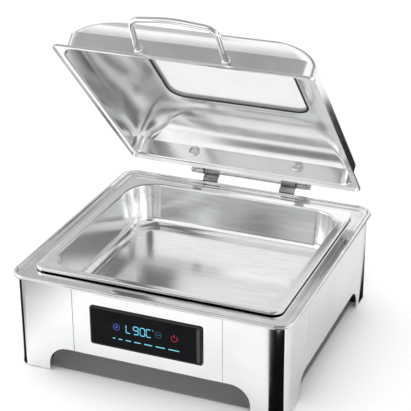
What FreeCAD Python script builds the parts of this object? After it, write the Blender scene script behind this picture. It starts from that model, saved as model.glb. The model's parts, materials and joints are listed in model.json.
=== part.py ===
import FreeCAD, Part
import math
import os
import re

import Sketcher
from FreeCAD import Placement, Rotation, Vector

# Electric chafing dish for a two-thirds size food pan. Millimetres, +Z up, +Y towards the hinge,
# origin on the table at the middle of the base. The lid stands open at its rest angle.

doc = FreeCAD.newDocument("ChafingDish")
sheet = doc.addObject("Spreadsheet::Sheet", "Sizes")

SIZES = {
    # base casing
    "casing_wall": 1.2,
    "side_margin": 18.0,
    "end_margin": 23.0,
    "post_length": 87.5,
    "post_depth": 89.5,
    "seam_gap": 0.3,
    "arch_height": 38.5,
    "side_arch_height": 35.0,
    "arch_radius": 28.0,
    "leg_width": 49.0,
    "leg_depth": 52.0,
    "foot_stand": 1.0,
    "foot_size": 34.0,
    "foot_height": 9.0,
    "fit_gap": 0.3,
    # water pan and its rim
    "rim_top": 141.0,
    "rim_overhang": 6.0,
    "rim_corner": 25.0,
    "bead_size": 6.0,
    "bead_round": 2.8,
    "shelf_width": 7.0,
    "shelf_drop": 2.6,
    "ledge_drop": 3.8,
    "pan_wall": 1.0,
    "well_clearance": 7.0,
    "corner_clearance": 1.0,
    "well_taper": 5.0,
    "water_gap": 21.2,
    "well_floor_round": 14.0,
    # food pan
    "food_length": 354.0,
    "food_depth": 325.0,
    "food_corner": 15.0,
    "food_flange": 14.0,
    "food_wall": 1.0,
    "food_rise": 6.0,
    "food_height": 65.0,
    "food_mouth_corner": 44.0,
    "food_taper": 8.0,
    "food_floor_round": 15.0,
    # control panel
    "control_height": 87.0,
    "glass_half_x": 78.2,
    "glass_half_z": 26.2,
    "glass_thick": 2.0,
    "glass_corner": 2.0,
    "bezel_width": 2.6,
    "bezel_stand": 2.4,
    "case_depth": 18.0,
    "case_wall": 1.5,
    "case_inset": 4.0,
    "board_thick": 1.6,
    "board_back": 10.0,
    "touch_radius": 4.0,
    "touch_outer_x": 41.5,
    "touch_minus_x": 18.6,
    "icon_rise": 4.6,
    "digit_middle_x": 9.5,
    "digit_block_x": 38.0,
    "digit_block_z": 19.0,
    "bar_drop": 13.5,
    "bar_first_x": 45.5,
    "bar_first_length": 3.6,
    "bar_growth": 2.0,
    "bar_gap": 4.75,
    "bar_height": 1.6,
    # heater, below the water pan
    "plate_margin_x": 60.0,
    "plate_margin_y": 75.5,
    "plate_thick": 5.0,
    "element_radius": 62.0,
    "element_tube": 3.1,
    "terminal_length": 22.0,
    "terminal_spread": 24.0,
    "cutout_radius": 8.0,
    "cutout_height": 6.0,
    "probe_radius": 3.0,
    "probe_length": 30.0,
    "shield_margin": 12.0,
    "shield_thick": 0.8,
    "spacer_radius": 3.0,
    "cover_thick": 1.0,
    "cover_lift": 0.5,
    "slot_length": 70.0,
    "slot_width": 4.0,
    "slot_pitch": 12.0,
    "screw_radius": 1.75,
    "screw_head": 3.5,
    "screw_head_height": 1.8,
    "gusset_size": 30.0,
    "gusset_thick": 2.0,
    # power board and mains inlet, inside the rear panel
    "power_x": -52.0,
    "power_z": 88.0,
    "power_length": 92.0,
    "power_height": 50.0,
    "standoff_length": 4.0,
    "relay_x": 20.0,
    "relay_y": 15.0,
    "relay_z": 16.0,
    "core_x": 28.0,
    "core_y": 18.0,
    "core_z": 26.0,
    "block_x": 26.0,
    "block_y": 11.0,
    "block_z": 12.0,
    "inlet_x": 74.0,
    "inlet_z": 66.0,
    "inlet_flange_x": 50.0,
    "inlet_flange_z": 24.0,
    "inlet_flange_thick": 2.5,
    "inlet_body_x": 28.0,
    "inlet_body_z": 20.5,
    "inlet_body_depth": 22.0,
    "inlet_mouth_x": 24.0,
    "inlet_mouth_z": 16.5,
    "inlet_mouth_depth": 17.0,
    "inlet_screw_spacing": 40.0,
    "blade_length": 11.5,
    "blade_width": 2.0,
    "blade_height": 4.0,
    "blade_spacing": 7.0,
    "wire_radius": 1.4,
    "lead_drop": 7.85,
    # hinge
    "pivot_back": 13.5,
    "pivot_rise": 9.5,
    "rod_radius": 3.0,
    "running_clearance": 0.05,
    "side_clearance": 0.2,
    "knuckle_radius": 5.2,
    "knuckle_inner_x": 50.0,
    "knuckle_length": 24.0,
    "washer_thick": 1.5,
    "arm_length": 14.3,
    "arm_radius": 5.8,
    "arm_thick": 3.0,
    "cap_length": 6.5,
    "cap_radius": 5.2,
    "bracket_thick": 3.0,
    "bracket_gap": 1.5,
    "bracket_drop": 39.5,
    "low_screw_drop": 31.5,
    "high_screw_drop": 11.5,
    "hinge_screw_radius": 2.5,
    "hinge_head_radius": 4.6,
    "hinge_head_height": 2.6,
    "nut_radius": 4.5,
    "nut_height": 4.0,
    # lid
    "lid_margin_x": 6.5,
    "lid_margin_y": 15.5,
    "lid_back_margin": 9.0,
    "lid_wall": 1.0,
    "lid_flange": 10.0,
    "lid_corner": 12.0,
    "lid_hem": 2.5,
    "apron_height": 27.0,
    "apron_corner": 24.0,
    "dome_rise": 47.0,
    "dome_angle": 70.0,
    "dome_top_corner": 46.0,
    "open_angle": 46.5,
    "window_margin_x": 76.5,
    "window_margin_y": 98.0,
    "window_corner": 22.0,
    "glazing_thick": 4.0,
    "glazing_margin": 2.0,
    "seal_drop": 1.4,
    "seal_lip": 2.5,
    "seal_edge": 1.0,
    "seal_thick": 1.0,
    "frame_wall": 0.9,
    # handle
    "grip_radius": 4.0,
    "grip_root_x": 61.0,
    "grip_corner_x": 58.0,
    "grip_reach": 56.0,
    "grip_bow": 7.0,
    "grip_bend": 15.0,
    "grip_tilt": 15.0,
    "grip_height": 12.0,
    "boss_radius": 7.5,
    "boss_height": 3.0,
    "fixing_radius": 2.5,
    "fixing_head": 5.5,
    "fixing_head_height": 3.2,
    "arm_screw_head": 8.0,
    "arm_screw_head_height": 3.0,
    "arm_screw_rise": 18.5,
    "arm_plate_high": 26.0,
}

DERIVED = {
    "food_half_x": "food_length / 2",
    "food_half_y": "food_depth / 2",
    "half_length": "food_half_x + side_margin",
    "half_depth": "food_half_y + end_margin",
    "seam_half_x": "half_length - post_length",
    "seam_half_y": "half_depth - post_depth",
    "casing_corner": "rim_corner - rim_overhang",
    "rim_half_x": "half_length + rim_overhang",
    "rim_half_y": "half_depth + rim_overhang",
    "ledge_top": "rim_top - ledge_drop",
    "casing_top": "ledge_top - pan_wall",
    "shelf_top": "rim_top - shelf_drop",
    "well_depth": "food_height - food_rise + water_gap",
    "well_bottom": "ledge_top - well_depth",
    "inner_x": "half_length - casing_wall",
    "inner_y": "half_depth - casing_wall",
    "food_top": "ledge_top + food_rise",
    "food_bottom": "food_top - food_height",
    "mouth_half_x": "food_half_x - food_flange",
    "mouth_half_y": "food_half_y - food_flange",
    "well_half_x": "mouth_half_x + well_clearance",
    "well_half_y": "mouth_half_y + well_clearance",
    "well_corner": "food_mouth_corner + corner_clearance",
    "plate_half_x": "well_half_x - plate_margin_x",
    "plate_half_y": "well_half_y - plate_margin_y",
    "pan_under": "well_bottom - pan_wall",
    "plate_under": "pan_under - plate_thick",
    "cover_bottom": "arch_height + cover_lift",
    "cover_top": "cover_bottom + cover_thick",
    "shield_bottom": "plate_under - 2 * element_tube - shield_thick - 2 * cover_thick",
    "power_face": "inner_y - standoff_length",
    "power_back": "power_face - board_thick",
    "washer_x": "knuckle_inner_x + knuckle_length",
    "arm_x": "washer_x + washer_thick + side_clearance",
    "cap_x": "arm_x + arm_length + side_clearance",
    "rod_half": "cap_x + cap_length / 2",
    "lid_half_x": "food_half_x + lid_margin_x",
    "lid_half_y": "food_half_y + lid_margin_y",
    "lid_back_y": "food_half_y + lid_back_margin",
    "lid_seat": "food_top + fit_gap",
    "pivot_y": "rim_half_y + pivot_back",
    "pivot_z": "rim_top + pivot_rise",
    "window_half_x": "lid_half_x - window_margin_x",
    "window_half_y": "lid_half_y - window_margin_y",
    "lid_centre_y": "lid_back_y - lid_half_y",
    "hinge_local_y": "pivot_y - lid_centre_y",
    "hinge_local_z": "pivot_z - lid_seat",
    "apron_half_x": "lid_half_x - lid_flange",
    "apron_half_y": "lid_half_y - lid_flange",
    "lid_top": "apron_height + dome_rise",
    "dome_radius": "dome_rise / (1 - cos(dome_angle * 1 deg))",
    "glazing_top": "lid_top - lid_wall - seal_drop",
    "glazing_under": "glazing_top - glazing_thick",
    "glazing_half_x": "window_half_x + glazing_margin",
    "glazing_half_y": "window_half_y + glazing_margin",
    "arm_middle": "arm_x + arm_length / 2",
    "crank_z": "rim_top - bead_size - bracket_gap",
    "crank_y": "rim_half_y + bracket_gap",
    "bracket_bottom": "crank_z - bracket_drop",
    "bracket_screw_low": "crank_z - low_screw_drop",
    "bracket_screw_high": "crank_z - high_screw_drop",
}

ALIASES = set(SIZES) | set(DERIVED)
row_number = 0
for alias, value in list(SIZES.items()) + list(DERIVED.items()):
    row_number += 1
    sheet.set(f"A{row_number}", alias)
    sheet.set(f"B{row_number}", f"={value}" if alias in DERIVED else str(value))
    sheet.setAlias(f"B{row_number}", alias)
doc.recompute()

nodes = {}


def size(alias):
    return float(sheet.get(alias))


def fx(text):
    """An expression in which every size reads the sheet."""
    return re.sub(r"[a-z_]{3,}", lambda word: "Sizes." * (word[0] in ALIASES) + word[0], str(text))


def bind(item, **expressions):
    for path, text in expressions.items():
        item.setExpression(path.replace("__", "."), fx(text))
    return item


def keep(item, label):
    item.Label = label
    nodes[label] = item
    return item


def place(item, x="0", y="0", z="0"):
    return bind(item, Placement__Base__x=x, Placement__Base__y=y, Placement__Base__z=z)


def box(x, y, z):
    """A block between two planes along each axis, each given as (low, high)."""
    item = doc.addObject("Part::Box", "Block")
    bind(item, Length=f"({x[1]}) - ({x[0]})", Width=f"({y[1]}) - ({y[0]})", Height=f"({z[1]}) - ({z[0]})")
    return place(item, x[0], y[0], z[0])


def centred(x, half_x, y, half_y, low, high):
    return box((f"{x} - {half_x}", f"{x} + {half_x}"), (f"{y} - {half_y}", f"{y} + {half_y}"), (low, high))


TURNS = {
    "x": Rotation(Vector(0, 1, 0), 90),
    "y": Rotation(Vector(1, 0, 0), -90),
    "z": Rotation(),
}


def rod(axis, radius, length, at):
    """A cylinder that starts at a point and runs along an axis."""
    item = doc.addObject("Part::Cylinder", "Rod")
    item.Placement = Placement(Vector(), TURNS[axis])
    bind(item, Radius=radius, Height=length)
    return place(item, *at)


def cut(base, *tools):
    for tool in tools:
        item = doc.addObject("Part::Cut", "Cut")
        item.Base = base
        item.Tool = tool
        base = item
    return base


def fuse(*items):
    item = doc.addObject("Part::MultiFuse", "Joined")
    item.Shapes = list(items)
    return item


def group(*items):
    item = doc.addObject("Part::Compound", "Group")
    item.Links = list(items)
    return item


def sketch_in(body, role, level):
    sketch = body.newObject("Sketcher::SketchObject", "Outline")
    plane = next(feature for feature in body.Origin.OriginFeatures if feature.Role == role)
    sketch.AttachmentSupport = [(plane, "")]
    sketch.MapMode = "FlatFace"
    return bind(sketch, AttachmentOffset__Base__z=level)


def polygon(body, role, level, points):
    """A closed outline of straight lines whose corners are expressions."""
    sketch = sketch_in(body, role, level)
    count = len(points)
    for index in range(count):
        angle = 2 * math.pi * index / count
        following = 2 * math.pi * (index + 1) / count
        start = Vector(math.cos(angle), math.sin(angle), 0)
        sketch.addGeometry(Part.LineSegment(start, Vector(math.cos(following), math.sin(following), 0)))
    for index in range(count):
        sketch.addConstraint(Sketcher.Constraint("Coincident", index, 2, (index + 1) % count, 1))
    for index, (across, up) in enumerate(points):
        for kind, text in (("DistanceX", across), ("DistanceY", up)):
            number = sketch.addConstraint(Sketcher.Constraint(kind, -1, 1, index, 1, 1.0))
            sketch.setExpression(f"Constraints[{number}]", fx(text))
    return sketch


def rounded(body, role, level, *loops):
    """Rounded rectangles about the origin, one inside the other: (half width, half height, corner radius)."""
    sketch = sketch_in(body, role, level)
    for wide, high, corner in loops:
        add_rounded(sketch, wide, high, corner)
    return sketch


def add_rounded(sketch, wide, high, corner):
    base = len(sketch.Geometry)
    half, rim = 10.0, 2.0
    flat = half - rim
    ends = [
        (flat, -half, -flat, -half),
        (-half, -flat, -half, flat),
        (-flat, half, flat, half),
        (half, flat, half, -flat),
    ]
    centres = [(-flat, -flat, 180), (-flat, flat, 90), (flat, flat, 0), (flat, -flat, 270)]
    for side in range(4):
        x0, y0, x1, y1 = ends[side]
        sketch.addGeometry(Part.LineSegment(Vector(x0, y0, 0), Vector(x1, y1, 0)))
    for x, y, start in centres:
        circle = Part.Circle(Vector(x, y, 0), Vector(0, 0, 1), rim)
        sketch.addGeometry(Part.ArcOfCircle(circle, math.radians(start), math.radians(start + 90)))
    constraint = Sketcher.Constraint
    for side in range(4):
        arc = base + 4 + side
        following = base + (side + 1) % 4
        sketch.addConstraint(constraint("Tangent", base + side, 2, arc, 2))
        sketch.addConstraint(constraint("Tangent", arc, 1, following, 1))
        sketch.addConstraint(constraint("Vertical" if side % 2 else "Horizontal", base + side))
        if side:
            sketch.addConstraint(constraint("Equal", base + 4, arc))
    sketch.addConstraint(constraint("Symmetric", base + 4, 3, base + 6, 3, -1, 1))
    radius = sketch.addConstraint(constraint("Radius", base + 4, rim))
    reach = sketch.addConstraint(constraint("DistanceX", -1, 1, base + 3, 1, half))
    rise = sketch.addConstraint(constraint("DistanceY", -1, 1, base + 2, 1, half))
    for number, text in ((radius, corner), (reach, wide), (rise, high)):
        sketch.setExpression(f"Constraints[{number}]", fx(text))


def new_body(label):
    body = doc.addObject("PartDesign::Body", "Body")
    return keep(body, label) if label else body


def pad(body, sketch, length):
    item = body.newObject("PartDesign::Pad", "Pad")
    item.Profile = sketch
    return bind(item, Length=length)


def loft(body, kind, sketches):
    item = body.newObject(f"PartDesign::{kind}", "Loft")
    item.Profile = sketches[0]
    item.Sections = sketches[1:]
    return item


def pocket(body, sketch, length):
    """Cuts a depth out of the body and proves that material went."""
    doc.recompute()
    before = body.Shape.Volume
    item = body.newObject("PartDesign::Pocket", "Pocket")
    item.Profile = sketch
    bind(item, Length=length)
    doc.recompute()
    if body.Shape.Volume > before - 1e-3:
        raise RuntimeError(f"{body.Label}: a pocket cut nothing")
    return item


def round_edges(body, radius, choose):
    doc.recompute()
    base = body.Tip
    names = [f"Edge{number}" for number, edge in enumerate(base.Shape.Edges, 1) if choose(edge)]
    if not names:
        raise RuntimeError(f"{body.Label}: no edge to round")
    item = body.newObject("PartDesign::Fillet", "Fillet")
    item.Base = (base, names)
    bind(item, Radius=radius)
    doc.recompute()
    return item


def level_edges(edge, height):
    """True for an edge that lies flat at a height."""
    limits = edge.BoundBox
    return abs(limits.ZMin - height) < 0.01 and abs(limits.ZMax - height) < 0.01


def facing_edges(edge, depth):
    """True for an edge that lies in a plane across Y."""
    limits = edge.BoundBox
    return abs(limits.YMin - depth) < 0.01 and abs(limits.YMax - depth) < 0.01


def side(sign, near, far):
    """The span between two distances from the middle, on the positive or the negative side."""
    return (f"{near}", f"{far}") if sign > 0 else (f"-({far})", f"-({near})")


def tangent_path(points, bends):
    """Straight runs between points, joined by tangent arcs; a bend is held to its shorter run."""
    edges = []
    start = points[0]
    for index, bend in enumerate(bends, 1):
        corner = points[index]
        back = (points[index - 1] - corner).normalize()
        ahead = (points[index + 1] - corner).normalize()
        half_turn = (math.pi - back.getAngle(ahead)) / 2
        runs = min(points[index - 1].distanceToPoint(corner), points[index + 1].distanceToPoint(corner))
        reach = min(bend * math.tan(half_turn), 0.45 * runs)
        radius = reach / math.tan(half_turn)
        first = corner + back * reach
        last = corner + ahead * reach
        middle = corner + (back + ahead).normalize() * (radius / math.cos(half_turn) - radius)
        edges.append(Part.LineSegment(start, first).toShape())
        edges.append(Part.Arc(first, middle, last).toShape())
        start = last
    edges.append(Part.LineSegment(start, points[-1]).toShape())
    return Part.Wire(edges)


def tube(points, bends, radius):
    """A round bar along a path, checked against its section times its length."""
    path = tangent_path(points, bends)
    heading = points[1] - points[0]
    ring = Part.Wire([Part.Circle(points[0], heading, radius).toShape()])
    shape = path.makePipeShell([ring], True, False)
    expected = math.pi * radius * radius * path.Length
    if abs(shape.Volume / expected - 1) > 0.02:
        raise RuntimeError(f"a tube of radius {radius} has the wrong volume")
    return shape


def feature(shape, label):
    item = doc.addObject("Part::Feature", "Route")
    item.Shape = shape
    return keep(item, label) if label else item


def outer_edge(edge, height):
    """True for an edge of the rim's outer outline at a height."""
    limits = edge.BoundBox
    reach = max(abs(limits.XMin), abs(limits.XMax)) - size("rim_half_x")
    depth = max(abs(limits.YMin), abs(limits.YMax)) - size("rim_half_y")
    return level_edges(edge, height) and max(reach, depth) > -0.01


# ---- casing: four corner posts on their own legs, four panels between them ----

SIDES = {"front": -1, "rear": 1}
HANDS = {"left": -1, "right": 1}
POST_X = "seam_half_x + seam_gap / 2"
POST_Y = "seam_half_y + seam_gap / 2"


def arch_cutter(axis, start, leg, height, low, high):
    """The space under a panel, running to a leg and turning down into it with a round corner."""
    reach = f"{leg} - arch_radius"
    crown = f"{height} - arch_radius"
    if axis == "y":
        upper = box(side(start, POST_X + " - seam_gap", reach), (low, high), ("-foot_height", height))
        lower = box(side(start, reach, leg), (low, high), ("-foot_height", crown))
        turn = rod("y", "arch_radius", f"({high}) - ({low})", (f"{start} * ({reach})", low, crown))
    else:
        upper = box((low, high), side(start, POST_Y + " - seam_gap", reach), ("-foot_height", height))
        lower = box((low, high), side(start, reach, leg), ("-foot_height", crown))
        turn = rod("x", "arch_radius", f"({high}) - ({low})", (low, f"{start} * ({reach})", crown))
    return fuse(upper, lower, turn)


def corner_post(label, hand, end):
    body = new_body(None)
    outline = [
        (f"{hand} * ({POST_X})", f"{end} * half_depth"),
        (f"{hand} * half_length", f"{end} * half_depth"),
        (f"{hand} * half_length", f"{end} * ({POST_Y})"),
        (f"{hand} * inner_x", f"{end} * ({POST_Y})"),
        (f"{hand} * inner_x", f"{end} * inner_y"),
        (f"{hand} * ({POST_X})", f"{end} * inner_y"),
    ]
    pad(body, polygon(body, "XY_Plane", "foot_stand", outline), "casing_top - foot_stand")
    for wide, deep, radius in (
        ("half_length", "half_depth", "casing_corner"),
        ("inner_x", "inner_y", "casing_corner - casing_wall"),
    ):
        at = Vector(hand * size(wide), end * size(deep), 0)
        round_edges(body, radius, lambda edge: upright_at(edge, at))
    low, high = side(end, "inner_y - casing_wall", "half_depth + casing_wall")
    front_arch = arch_cutter("y", hand, "half_length - leg_width", "arch_height", low, high)
    low, high = side(hand, "inner_x - casing_wall", "half_length + casing_wall")
    side_arch = arch_cutter("x", end, "half_depth - leg_depth", "side_arch_height", low, high)
    keep(cut(body, front_arch, side_arch), label)


def upright_at(edge, at):
    limits = edge.BoundBox
    near = abs(limits.XMin - at.x) < 0.01 and abs(limits.YMin - at.y) < 0.01
    return near and limits.XLength < 0.01 and limits.YLength < 0.01 and limits.ZLength > 1


def foot(hand, end):
    body = new_body(None)
    outline = [
        (f"{hand} * inner_x", f"{end} * inner_y"),
        (f"{hand} * (inner_x - foot_size)", f"{end} * inner_y"),
        (f"{hand} * (inner_x - foot_size)", f"{end} * (inner_y - foot_size)"),
        (f"{hand} * inner_x", f"{end} * (inner_y - foot_size)"),
    ]
    pad(body, polygon(body, "XY_Plane", "0", outline), "foot_height")
    at = Vector(hand * size("inner_x"), end * size("inner_y"), 0)
    round_edges(body, "casing_corner - casing_wall", lambda edge: upright_at(edge, at))
    return body


feet = []
straps = []
for end_name, end in SIDES.items():
    for hand_name, hand in HANDS.items():
        corner_post(f"corner_post_{end_name}_{hand_name}", hand, end)
        feet.append(foot(hand, end))
        across = side(hand, "seam_half_x - foot_height", "seam_half_x + foot_height")
        along = side(end, "seam_half_y - foot_height", "seam_half_y + foot_height")
        rise = ("arch_height + foot_height", "casing_top - 2 * casing_wall")
        straps.append(box(across, side(end, "inner_y - casing_wall", "inner_y"), rise))
        straps.append(box(side(hand, "inner_x - casing_wall", "inner_x"), along, rise))
keep(group(*feet), "foot_pads")
keep(group(*straps), "seam_straps")

PANEL_X = ("-(seam_half_x - seam_gap / 2)", "seam_half_x - seam_gap / 2")
PANEL_Y = ("-(seam_half_y - seam_gap / 2)", "seam_half_y - seam_gap / 2")
WINDOW_X = "glass_half_x - case_inset"
WINDOW_Z = "glass_half_z - case_inset"
front_sheet = box(PANEL_X, ("-half_depth", "-inner_y"), ("arch_height", "casing_top"))
front_window = box(
    (f"-({WINDOW_X})", WINDOW_X),
    ("-half_depth - casing_wall", "-inner_y + casing_wall"),
    (f"control_height - ({WINDOW_Z})", f"control_height + {WINDOW_Z}"),
)
keep(cut(front_sheet, front_window), "front_panel")

for hand_name, hand in HANDS.items():
    side_sheet = box(side(hand, "inner_x", "half_length"), PANEL_Y, ("side_arch_height", "casing_top"))
    keep(side_sheet, f"{hand_name}_panel")

frame = new_body("top_frame")
FRAME_CORNER = "casing_corner - casing_wall"
frame_outline = rounded(
    frame,
    "XY_Plane",
    "casing_top - 1.5 * casing_wall",
    ("inner_x", "inner_y", FRAME_CORNER),
    ("inner_x - 8 * casing_wall", "inner_y - 8 * casing_wall", FRAME_CORNER),
)
pad(frame, frame_outline, "1.5 * casing_wall")


# ---- water pan: rolled bead, shelf and ledge round a deep well ----

def section(body, level, half_x, half_y, corner):
    return rounded(body, "XY_Plane", level, (half_x, half_y, corner))


water_pan = new_body("water_pan")
pad(water_pan, section(water_pan, "casing_top", "half_length", "half_depth", "casing_corner"), "pan_wall")
bead = rounded(
    water_pan,
    "XY_Plane",
    "rim_top - bead_size",
    ("rim_half_x", "rim_half_y", "rim_corner"),
    ("half_length", "half_depth", "casing_corner"),
)
pad(water_pan, bead, "bead_size")
bead_under = size("rim_top") - size("bead_size")
round_edges(
    water_pan,
    "bead_round",
    lambda edge: level_edges(edge, size("rim_top")) or outer_edge(edge, bead_under),
)
shelf = rounded(
    water_pan,
    "XY_Plane",
    "casing_top",
    ("half_length + casing_wall", "half_depth + casing_wall", "casing_corner"),
    ("half_length - shelf_width", "half_depth - shelf_width", "casing_corner - shelf_width"),
)
pad(water_pan, shelf, "shelf_top - casing_top")
WELL_UNDER = "well_half_x + pan_wall"
loft(
    water_pan,
    "AdditiveLoft",
    [
        section(water_pan, "ledge_top", WELL_UNDER, "well_half_y + pan_wall", "well_corner + pan_wall"),
        section(
            water_pan,
            "pan_under",
            f"{WELL_UNDER} - well_taper",
            "well_half_y + pan_wall - well_taper",
            "well_corner + pan_wall - well_taper",
        ),
    ],
)
loft(
    water_pan,
    "SubtractiveLoft",
    [
        section(water_pan, "ledge_top", "well_half_x", "well_half_y", "well_corner"),
        section(
            water_pan,
            "well_bottom",
            "well_half_x - well_taper",
            "well_half_y - well_taper",
            "well_corner - well_taper",
        ),
    ],
)
round_edges(water_pan, "well_floor_round", lambda edge: level_edges(edge, size("well_bottom")))
round_edges(water_pan, "well_floor_round + pan_wall", lambda edge: level_edges(edge, size("pan_under")))


# ---- food pan: rolled flange that rests on the ledge, deep tapered bowl ----

food_pan = new_body("food_pan")
pad(
    food_pan,
    section(food_pan, "food_top - food_wall", "food_half_x", "food_half_y", "food_corner"),
    "food_wall",
)
hem = rounded(
    food_pan,
    "XY_Plane",
    "ledge_top",
    ("food_half_x", "food_half_y", "food_corner"),
    ("food_half_x - 1.5 * food_wall", "food_half_y - 1.5 * food_wall", "food_corner - 1.5 * food_wall"),
)
pad(food_pan, hem, "food_rise")
round_edges(
    food_pan,
    "food_wall",
    lambda edge: level_edges(edge, size("food_top")),
)
loft(
    food_pan,
    "AdditiveLoft",
    [
        section(
            food_pan,
            "food_top - food_wall / 2",
            "mouth_half_x + food_wall",
            "mouth_half_y + food_wall",
            "food_mouth_corner + food_wall",
        ),
        section(
            food_pan,
            "food_bottom",
            "mouth_half_x + food_wall - food_taper",
            "mouth_half_y + food_wall - food_taper",
            "food_mouth_corner + food_wall - food_taper",
        ),
    ],
)
loft(
    food_pan,
    "SubtractiveLoft",
    [
        section(food_pan, "food_top", "mouth_half_x", "mouth_half_y", "food_mouth_corner"),
        section(
            food_pan,
            "food_bottom + food_wall",
            "mouth_half_x - food_taper",
            "mouth_half_y - food_taper",
            "food_mouth_corner - food_taper",
        ),
    ],
)
food_floor = size("food_bottom") + size("food_wall")
round_edges(food_pan, "food_floor_round", lambda edge: level_edges(edge, food_floor))
round_edges(food_pan, "food_floor_round + food_wall", lambda edge: level_edges(edge, size("food_bottom")))


# ---- control panel: bezel, glass, case and board ----

def upright(body, level, *loops):
    """Rounded rectangles on the XZ plane, raised to the control panel's height by the body's placement."""
    return rounded(body, "XZ_Plane", level, *loops)


bezel = new_body("control_bezel")
bezel_outline = upright(
    bezel,
    "half_depth",
    ("glass_half_x + bezel_width", "glass_half_z + bezel_width", "glass_corner + bezel_width"),
    ("glass_half_x + running_clearance", "glass_half_z + running_clearance", "glass_corner"),
)
pad(bezel, bezel_outline, "bezel_stand")
bezel_face = -size("half_depth") - size("bezel_stand")
round_edges(bezel, "bezel_stand / 3", lambda edge: facing_edges(edge, bezel_face))
place(bezel, z="control_height")

glass = new_body("control_glass")
pad(glass, upright(glass, "half_depth", ("glass_half_x", "glass_half_z", "glass_corner")), "glass_thick")
place(glass, z="control_height")


def face_block(middle_x, half_x, middle_z, half_z, near, far):
    """A block behind the glass, between two distances in from the front of the casing."""
    return box(
        (f"{middle_x} - {half_x}", f"{middle_x} + {half_x}"),
        (f"-half_depth + {near}", f"-half_depth + {far}"),
        (f"control_height + {middle_z} - ({half_z})", f"control_height + {middle_z} + {half_z}"),
    )


CASE_X = f"({WINDOW_X} - running_clearance)"
CASE_Z = f"({WINDOW_Z} - running_clearance)"
CASE_INSIDE_X = f"({CASE_X} - case_wall)"
CASE_INSIDE_Z = f"({CASE_Z} - case_wall)"
case_outside = face_block("0", CASE_X, "0", CASE_Z, "0", "case_depth")
case_inside = face_block("0", CASE_INSIDE_X, "0", CASE_INSIDE_Z, "-1", "case_depth - case_wall")
keep(cut(case_outside, case_inside), "control_case")
BOARD_X = f"({CASE_INSIDE_X} - fit_gap)"
BOARD_Z = f"({CASE_INSIDE_Z} - fit_gap)"
board_ends = ("board_back", "board_back + board_thick")
keep(face_block("0", BOARD_X, "0", BOARD_Z, *board_ends), "control_board")
digit_block = ("digit_block_x / 2", "icon_rise", "digit_block_z / 2", "0", "board_back")
keep(face_block("-digit_middle_x", *digit_block), "digit_display")

touch_places = ("-touch_outer_x", "touch_minus_x", "touch_outer_x")
touch_z = "control_height + icon_rise"
touch_pads = [rod("y", "touch_radius", "board_back", (x, "-half_depth", touch_z)) for x in touch_places]
keep(group(*touch_pads), "touch_pads")

lamps = []
bar_start = "-bar_first_x - bar_first_length / 2"
for step in range(7):
    length = f"bar_first_length + {step} * bar_growth"
    ends = (bar_start, f"{bar_start} + {length}")
    height = ("control_height - bar_drop - bar_height", "control_height - bar_drop + bar_height")
    lamps.append(box(ends, ("-half_depth", "-half_depth + board_back"), height))
    bar_start = f"{bar_start} + {length} + bar_gap"
keep(group(*lamps), "level_lamps")


# ---- heater under the water pan, heat shield and bottom cover ----

keep(centred("0", "plate_half_x", "0", "plate_half_y", "plate_under", "pan_under"), "heater_plate")
element = doc.addObject("Part::Torus", "Ring")
bind(element, Radius1="element_radius", Radius2="element_tube")
place(element, z="plate_under - element_tube")
terminals = []
for end in SIDES.values():
    at = ("element_radius - element_tube / 2", f"{end} * terminal_spread / 2", "plate_under - element_tube")
    terminals.append(rod("x", "element_tube / 1.5", "terminal_length", at))
keep(fuse(element, *terminals), "heating_element")

cutout = rod("z", "cutout_radius", "cutout_height", ("0", "0", "plate_under - cutout_height"))
keep(cutout, "thermal_cutout")
probe_at = ("-plate_half_x + probe_length / 3", "0", "plate_under - probe_radius")
keep(rod("x", "probe_radius", "probe_length", probe_at), "temperature_probe")

SHIELD_X = "(plate_half_x + shield_margin)"
SHIELD_Y = "(plate_half_y + shield_margin)"
keep(centred("0", SHIELD_X, "0", SHIELD_Y, "shield_bottom", "shield_bottom + shield_thick"), "heat_shield")
spacers = []
for end in SIDES.values():
    for hand in HANDS.values():
        at = (
            f"{hand} * (plate_half_x - 3 * spacer_radius)",
            f"{end} * (plate_half_y - 3 * spacer_radius)",
            "shield_bottom + shield_thick",
        )
        spacers.append(rod("z", "spacer_radius", "plate_under - shield_bottom - shield_thick", at))
keep(group(*spacers), "shield_spacers")

COVER_X = "(inner_x - fit_gap)"
COVER_Y = "(inner_y - fit_gap)"
cover = new_body(None)
cover_outline = section(cover, "cover_bottom", COVER_X, COVER_Y, f"{FRAME_CORNER} - fit_gap")
pad(cover, cover_outline, "cover_thick")
slots = []
for end in SIDES.values():
    for hand in HANDS.values():
        for step in range(5):
            middle_x = f"{hand} * (slot_length / 2 + slot_pitch)"
            middle_y = f"{end} * (slot_pitch + {step} * slot_pitch)"
            slots.append(
                centred(
                    middle_x,
                    "slot_length / 2",
                    middle_y,
                    "slot_width / 2",
                    "cover_bottom - cover_thick",
                    "cover_top + cover_thick",
                )
            )
screws = []
holes = []
for end in SIDES.values():
    for hand in HANDS.values():
        x = f"{hand} * (inner_x - gusset_size / 2)"
        y = f"{end} * (inner_y - gusset_size / 2)"
        holes.append(rod("z", "screw_radius", "4 * cover_thick", (x, y, "cover_bottom - cover_thick")))
        head = rod("z", "screw_head", "screw_head_height", (x, y, "cover_bottom - screw_head_height"))
        shank = rod("z", "screw_radius", "cover_thick + gusset_thick", (x, y, "cover_bottom"))
        screws.append(fuse(head, shank))
keep(cut(cover, fuse(*slots), fuse(*holes)), "bottom_cover")
keep(group(*screws), "cover_screws")

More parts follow.
